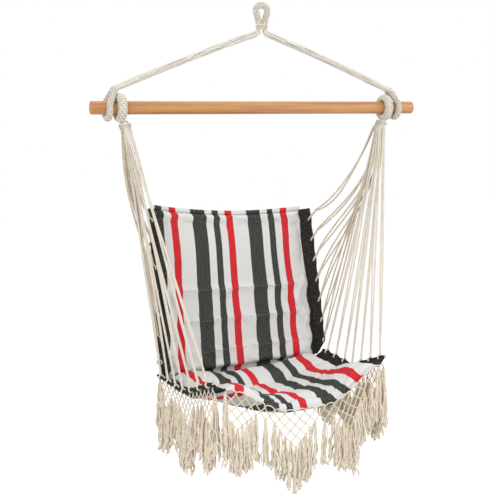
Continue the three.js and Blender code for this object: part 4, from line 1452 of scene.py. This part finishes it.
def tassel_tree():
    """Loose yarns from each point: close together in the neck, then wavy and spread."""
    wire, sizes = geometry_tree("tassels", {
        "Yarns": tassel_yarns, "Length": tassel_length, "Neck": tassel_neck,
        "Spread": tassel_spread, "Wave": tassel_wave, "Radius": yarn_radius, "Groove": 0.26,
        "Seed": 1, "Material": fringe_cotton})
    points = wire.add("GeometryNodeMeshToPoints", values={"Mesh": sizes["Geometry"]})
    yarns = wire.add("GeometryNodeDuplicateElements", {"domain": "POINT"},
                     {"Geometry": points, "Amount": sizes["Yarns"]})
    line = wire.add("GeometryNodeCurvePrimitiveLine", {"mode": "DIRECTION"},
                    {"Direction": (0, 0, -1), "Length": 1})
    line = wire.add("GeometryNodeResampleCurve", {"mode": "COUNT"}, {"Curve": line, "Count": 22})
    short = wire.add("FunctionNodeRandomValue", {"data_type": "FLOAT"},
                     {2: 0.88, 3: 1.08, 8: sizes["Seed"]}, out=1)
    size = wire.add("ShaderNodeCombineXYZ", values={"X": 1, "Y": 1, "Z": short * sizes["Length"]})
    hung = wire.add("GeometryNodeInstanceOnPoints", values={
        "Points": yarns, "Instance": line, "Scale": size})
    hung = wire.add("GeometryNodeRealizeInstances", values={"Geometry": hung})
    curve = wire.add("GeometryNodeCurveOfPoint", out="Curve Index")

    def drawn_for_yarn(kind, low, high, order, out=0):
        """A random value or vector for each yarn, from the seed and the draw's order."""
        first = 2 if kind == "FLOAT" else 0
        return wire.add("FunctionNodeRandomValue", {"data_type": kind}, {
            first: low, first + 1: high, 7: curve, 8: sizes["Seed"] + order}, out)

    offset = drawn_for_yarn("FLOAT_VECTOR", (-1, -1, 0), (1, 1, 0), 1)
    shift = drawn_for_yarn("FLOAT_VECTOR", (-9, -9, -9), (9, 9, 9), 2)
    thick = drawn_for_yarn("FLOAT", 0.6, 1.1, 3, out=1)
    share = wire.add("GeometryNodeSplineParameter", out="Factor")
    below = share * sizes["Length"] - sizes["Neck"]
    loose = (below / (sizes["Length"] - sizes["Neck"])).maths("MAXIMUM", 0)
    spread = loose.maths("POWER", 0.55) * sizes["Spread"] + yarn_gap
    place = wire.add("GeometryNodeInputPosition")
    half = (0.5, 0.5, 0.5)
    sway = place.scaled(26).vector("ADD", shift.scaled(0.06)).noise(1, 1).also("Color")
    sway = sway.vector("SUBTRACT", half).scaled(loose * sizes["Wave"] * 7)
    crinkle = place.scaled(46).vector("ADD", shift).noise(1, 1).also("Color")
    crinkle = crinkle.vector("SUBTRACT", half).scaled(
        loose.maths("POWER", 0.6) * sizes["Wave"] * 1.2)
    move = offset.scaled(spread).vector("ADD", sway).vector("ADD", crinkle)
    moved = wire.add("GeometryNodeSetPosition", values={"Geometry": hung, "Offset": move})
    turned = wire.add("GeometryNodeSetCurveTilt", values={"Curve": moved, "Tilt": share * 20})
    frayed = share.maths("POWER", 2.5) * 0.75 - share.maths("POWER", 50) * 0.9
    width = (frayed + 1) * thick * (share * 40 + 0.12).maths("MINIMUM", 1)
    skin = wire.add("GeometryNodeCurveToMesh", values={
        "Curve": turned, "Profile Curve": three_lobes(wire, sizes["Radius"], sizes["Groove"]),
        "Scale": width, "Fill Caps": True})
    return finish_tree(wire, skin, sizes["Material"])


tassels = tassel_tree()


def net_knots(length):
    """Where the net has knots: half cells along it and rows down. It hangs in points."""
    knots = {}
    half_cells = int(length / cell_width)
    margin = (length - half_cells * cell_width) / 2
    for row in range(net_rows[1] + 1):
        for half in range(row % 2, half_cells + 1, 2):
            turn = scallop_cells / 2
            from_point = abs((half - scallop_start + turn) % scallop_cells - turn)
            above = (half - 1, row - 1) in knots or (half + 1, row - 1) in knots
            if row <= max(net_rows[0], net_rows[1] - from_point) and (row == 0 or above):
                knots[half, row] = margin + half * cell_width
    return knots


def overhand(centre, across, out):
    """The path of the small knot where two cords of the net cross."""
    path = []
    for i in range(15):
        a = math.tau * i / 15
        path.append(centre + across * (overhand_radius * math.cos(a))
                    + Vector((0, 0, overhand_radius * math.sin(a)))
                    + out * (overhand_radius / 2 * math.cos(2 * a)))
    return path


def arch(start, end, out):
    """A loop of the net over the edge that it hangs from, from one knot to the next."""
    path = []
    for i in range(13):
        angle = math.pi * i / 12
        rise = (out * arch_reach + Vector((0, 0, arch_rise))) * math.sin(angle) ** 0.7
        path.append(start.lerp(end, 0.5 - math.cos(angle) * 0.5) + rise)
    return path


def binding_turns(knot, tangent, out):
    """The path of the turns that bind a tassel's neck, with both ends tucked in."""
    path = []
    for i in range(37):
        angle = i * math.tau / 12
        radius = turns_radius * min(1, 0.1 + i / 4, 0.1 + (36 - i) / 4)
        drop = Vector((0, 0, -turns_drop - turns_pitch * i / 12))
        path.append(knot + drop + (tangent * math.cos(angle) + out * math.sin(angle)) * radius)
    return path


def net_strand(knot, other, tangent):
    """One side of a diamond: it sags a little and isn't quite straight."""
    slack = noise.noise(knot * 90 + other * 50) * net_slack
    aside = tangent * slack - Vector((0, 0, net_sag))
    return [knot.lerp(other, i / 6) + aside * math.sin(math.pi * i / 6) for i in range(7)]


def fringe(name, body, roots, out, arched=False):
    """A net with its tassels, hung from a row of root points."""
    line = smooth_line(roots, 240)
    length = sum((there - here).length for here, there in zip(line, line[1:]))

    def hung(at, drop):
        """A place of the net: so far along its roots, and so far down from them."""
        share = min(max(at / length, 0), 1) * (len(line) - 1)
        here = min(int(share), len(line) - 2)
        root = line[here].lerp(line[here + 1], share - here)
        sway = noise.noise(root * 22) * 0.004 + noise.noise(root * 70 + out) * 0.0015
        return root + sling_down * (drop + gap + knot_half) + out * sway * drop / 0.06

    knots = net_knots(length)
    middles = {key: hung(at, key[1] * cell_drop) for key, at in knots.items()}
    strands, loops, ends = [], [], []
    for (half, row), middle in middles.items():
        tangent = (hung(knots[half, row] + 0.001, 0) - hung(knots[half, row], 0)).normalized()
        loops.append(overhand(middle, tangent, out))
        below = [middles.get((half + step, row + 1)) for step in (-1, 1)]
        strands += [net_strand(middle, other, tangent) for other in below if other]
        if row == 0 and arched and (half + 2, 0) in middles:
            strands.append(arch(middle, middles[half + 2, 0], out))
        if row == 0:
            top = hung(knots[half, row], -gap - knot_half)
            for step in (-1, 1):
                foot = top + tangent * step * knot_half
                strands.append([middle.lerp(foot, i / 3) for i in range(4)])
        if None in below:
            ends.append(middle)
            loops.append(binding_turns(middle, tangent, out))
    net = grown("net", polylines(strands), laid_cord, diameter=net_cord, lay=net_cord_lay,
                step=0.0028, material=fringe_cotton)
    wound = grown("knots", polylines(loops), laid_cord, diameter=knot_cord, lay=knot_cord_lay,
                  step=0.002, material=fringe_cotton)
    tops = [end - Vector((0, 0, tassel_drop)) for end in ends]
    loose = grown("yarns", mesh_object("roots", tops, []), tassels, seed=len(ends),
                  material=fringe_cotton)
    made = joined(name, [net, wound, loose])
    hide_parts(body)
    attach(made, "seat")
    return made


def front_roots():
    """Along the front binding, a little under its middle."""
    roots = []
    for i in range(root_count):
        column = between(-0.995, 0.995, i / (root_count - 1))
        ahead, _, out = seat_panel.directions(column, 1)
        origin = seat_surface(column, 1) + ahead * (gap + front_binding_height / 2) - out * 0.0015
        roots.append(sling @ origin + sling_down * front_fringe_drop)
    return roots


def side_roots(side):
    """Along the under side of one of the seat's hems."""
    roots = []
    for i in range(root_count):
        share = i / (root_count - 1) * 0.995
        origin, across, upward, _ = seat_panel.hem_frame(side, share)
        root = origin + across * (hem_width * fringe_seat_share) - upward * (hem_thickness / 2)
        roots.append(root + sling_down * side_fringe_drop)
    return roots


front_fringe = fringe("front_net_and_tassels", "front_fringe", front_roots(), -rearward, True)
side_fringes = []
for side, side_name in sides:
    side_fringes.append(fringe(f"{side_name}_net_and_tassels", f"fringe_{side_name}",
                               side_roots(side), rightward * side))

hems["seat"] + [front_binding, front_fringe] + side_fringes
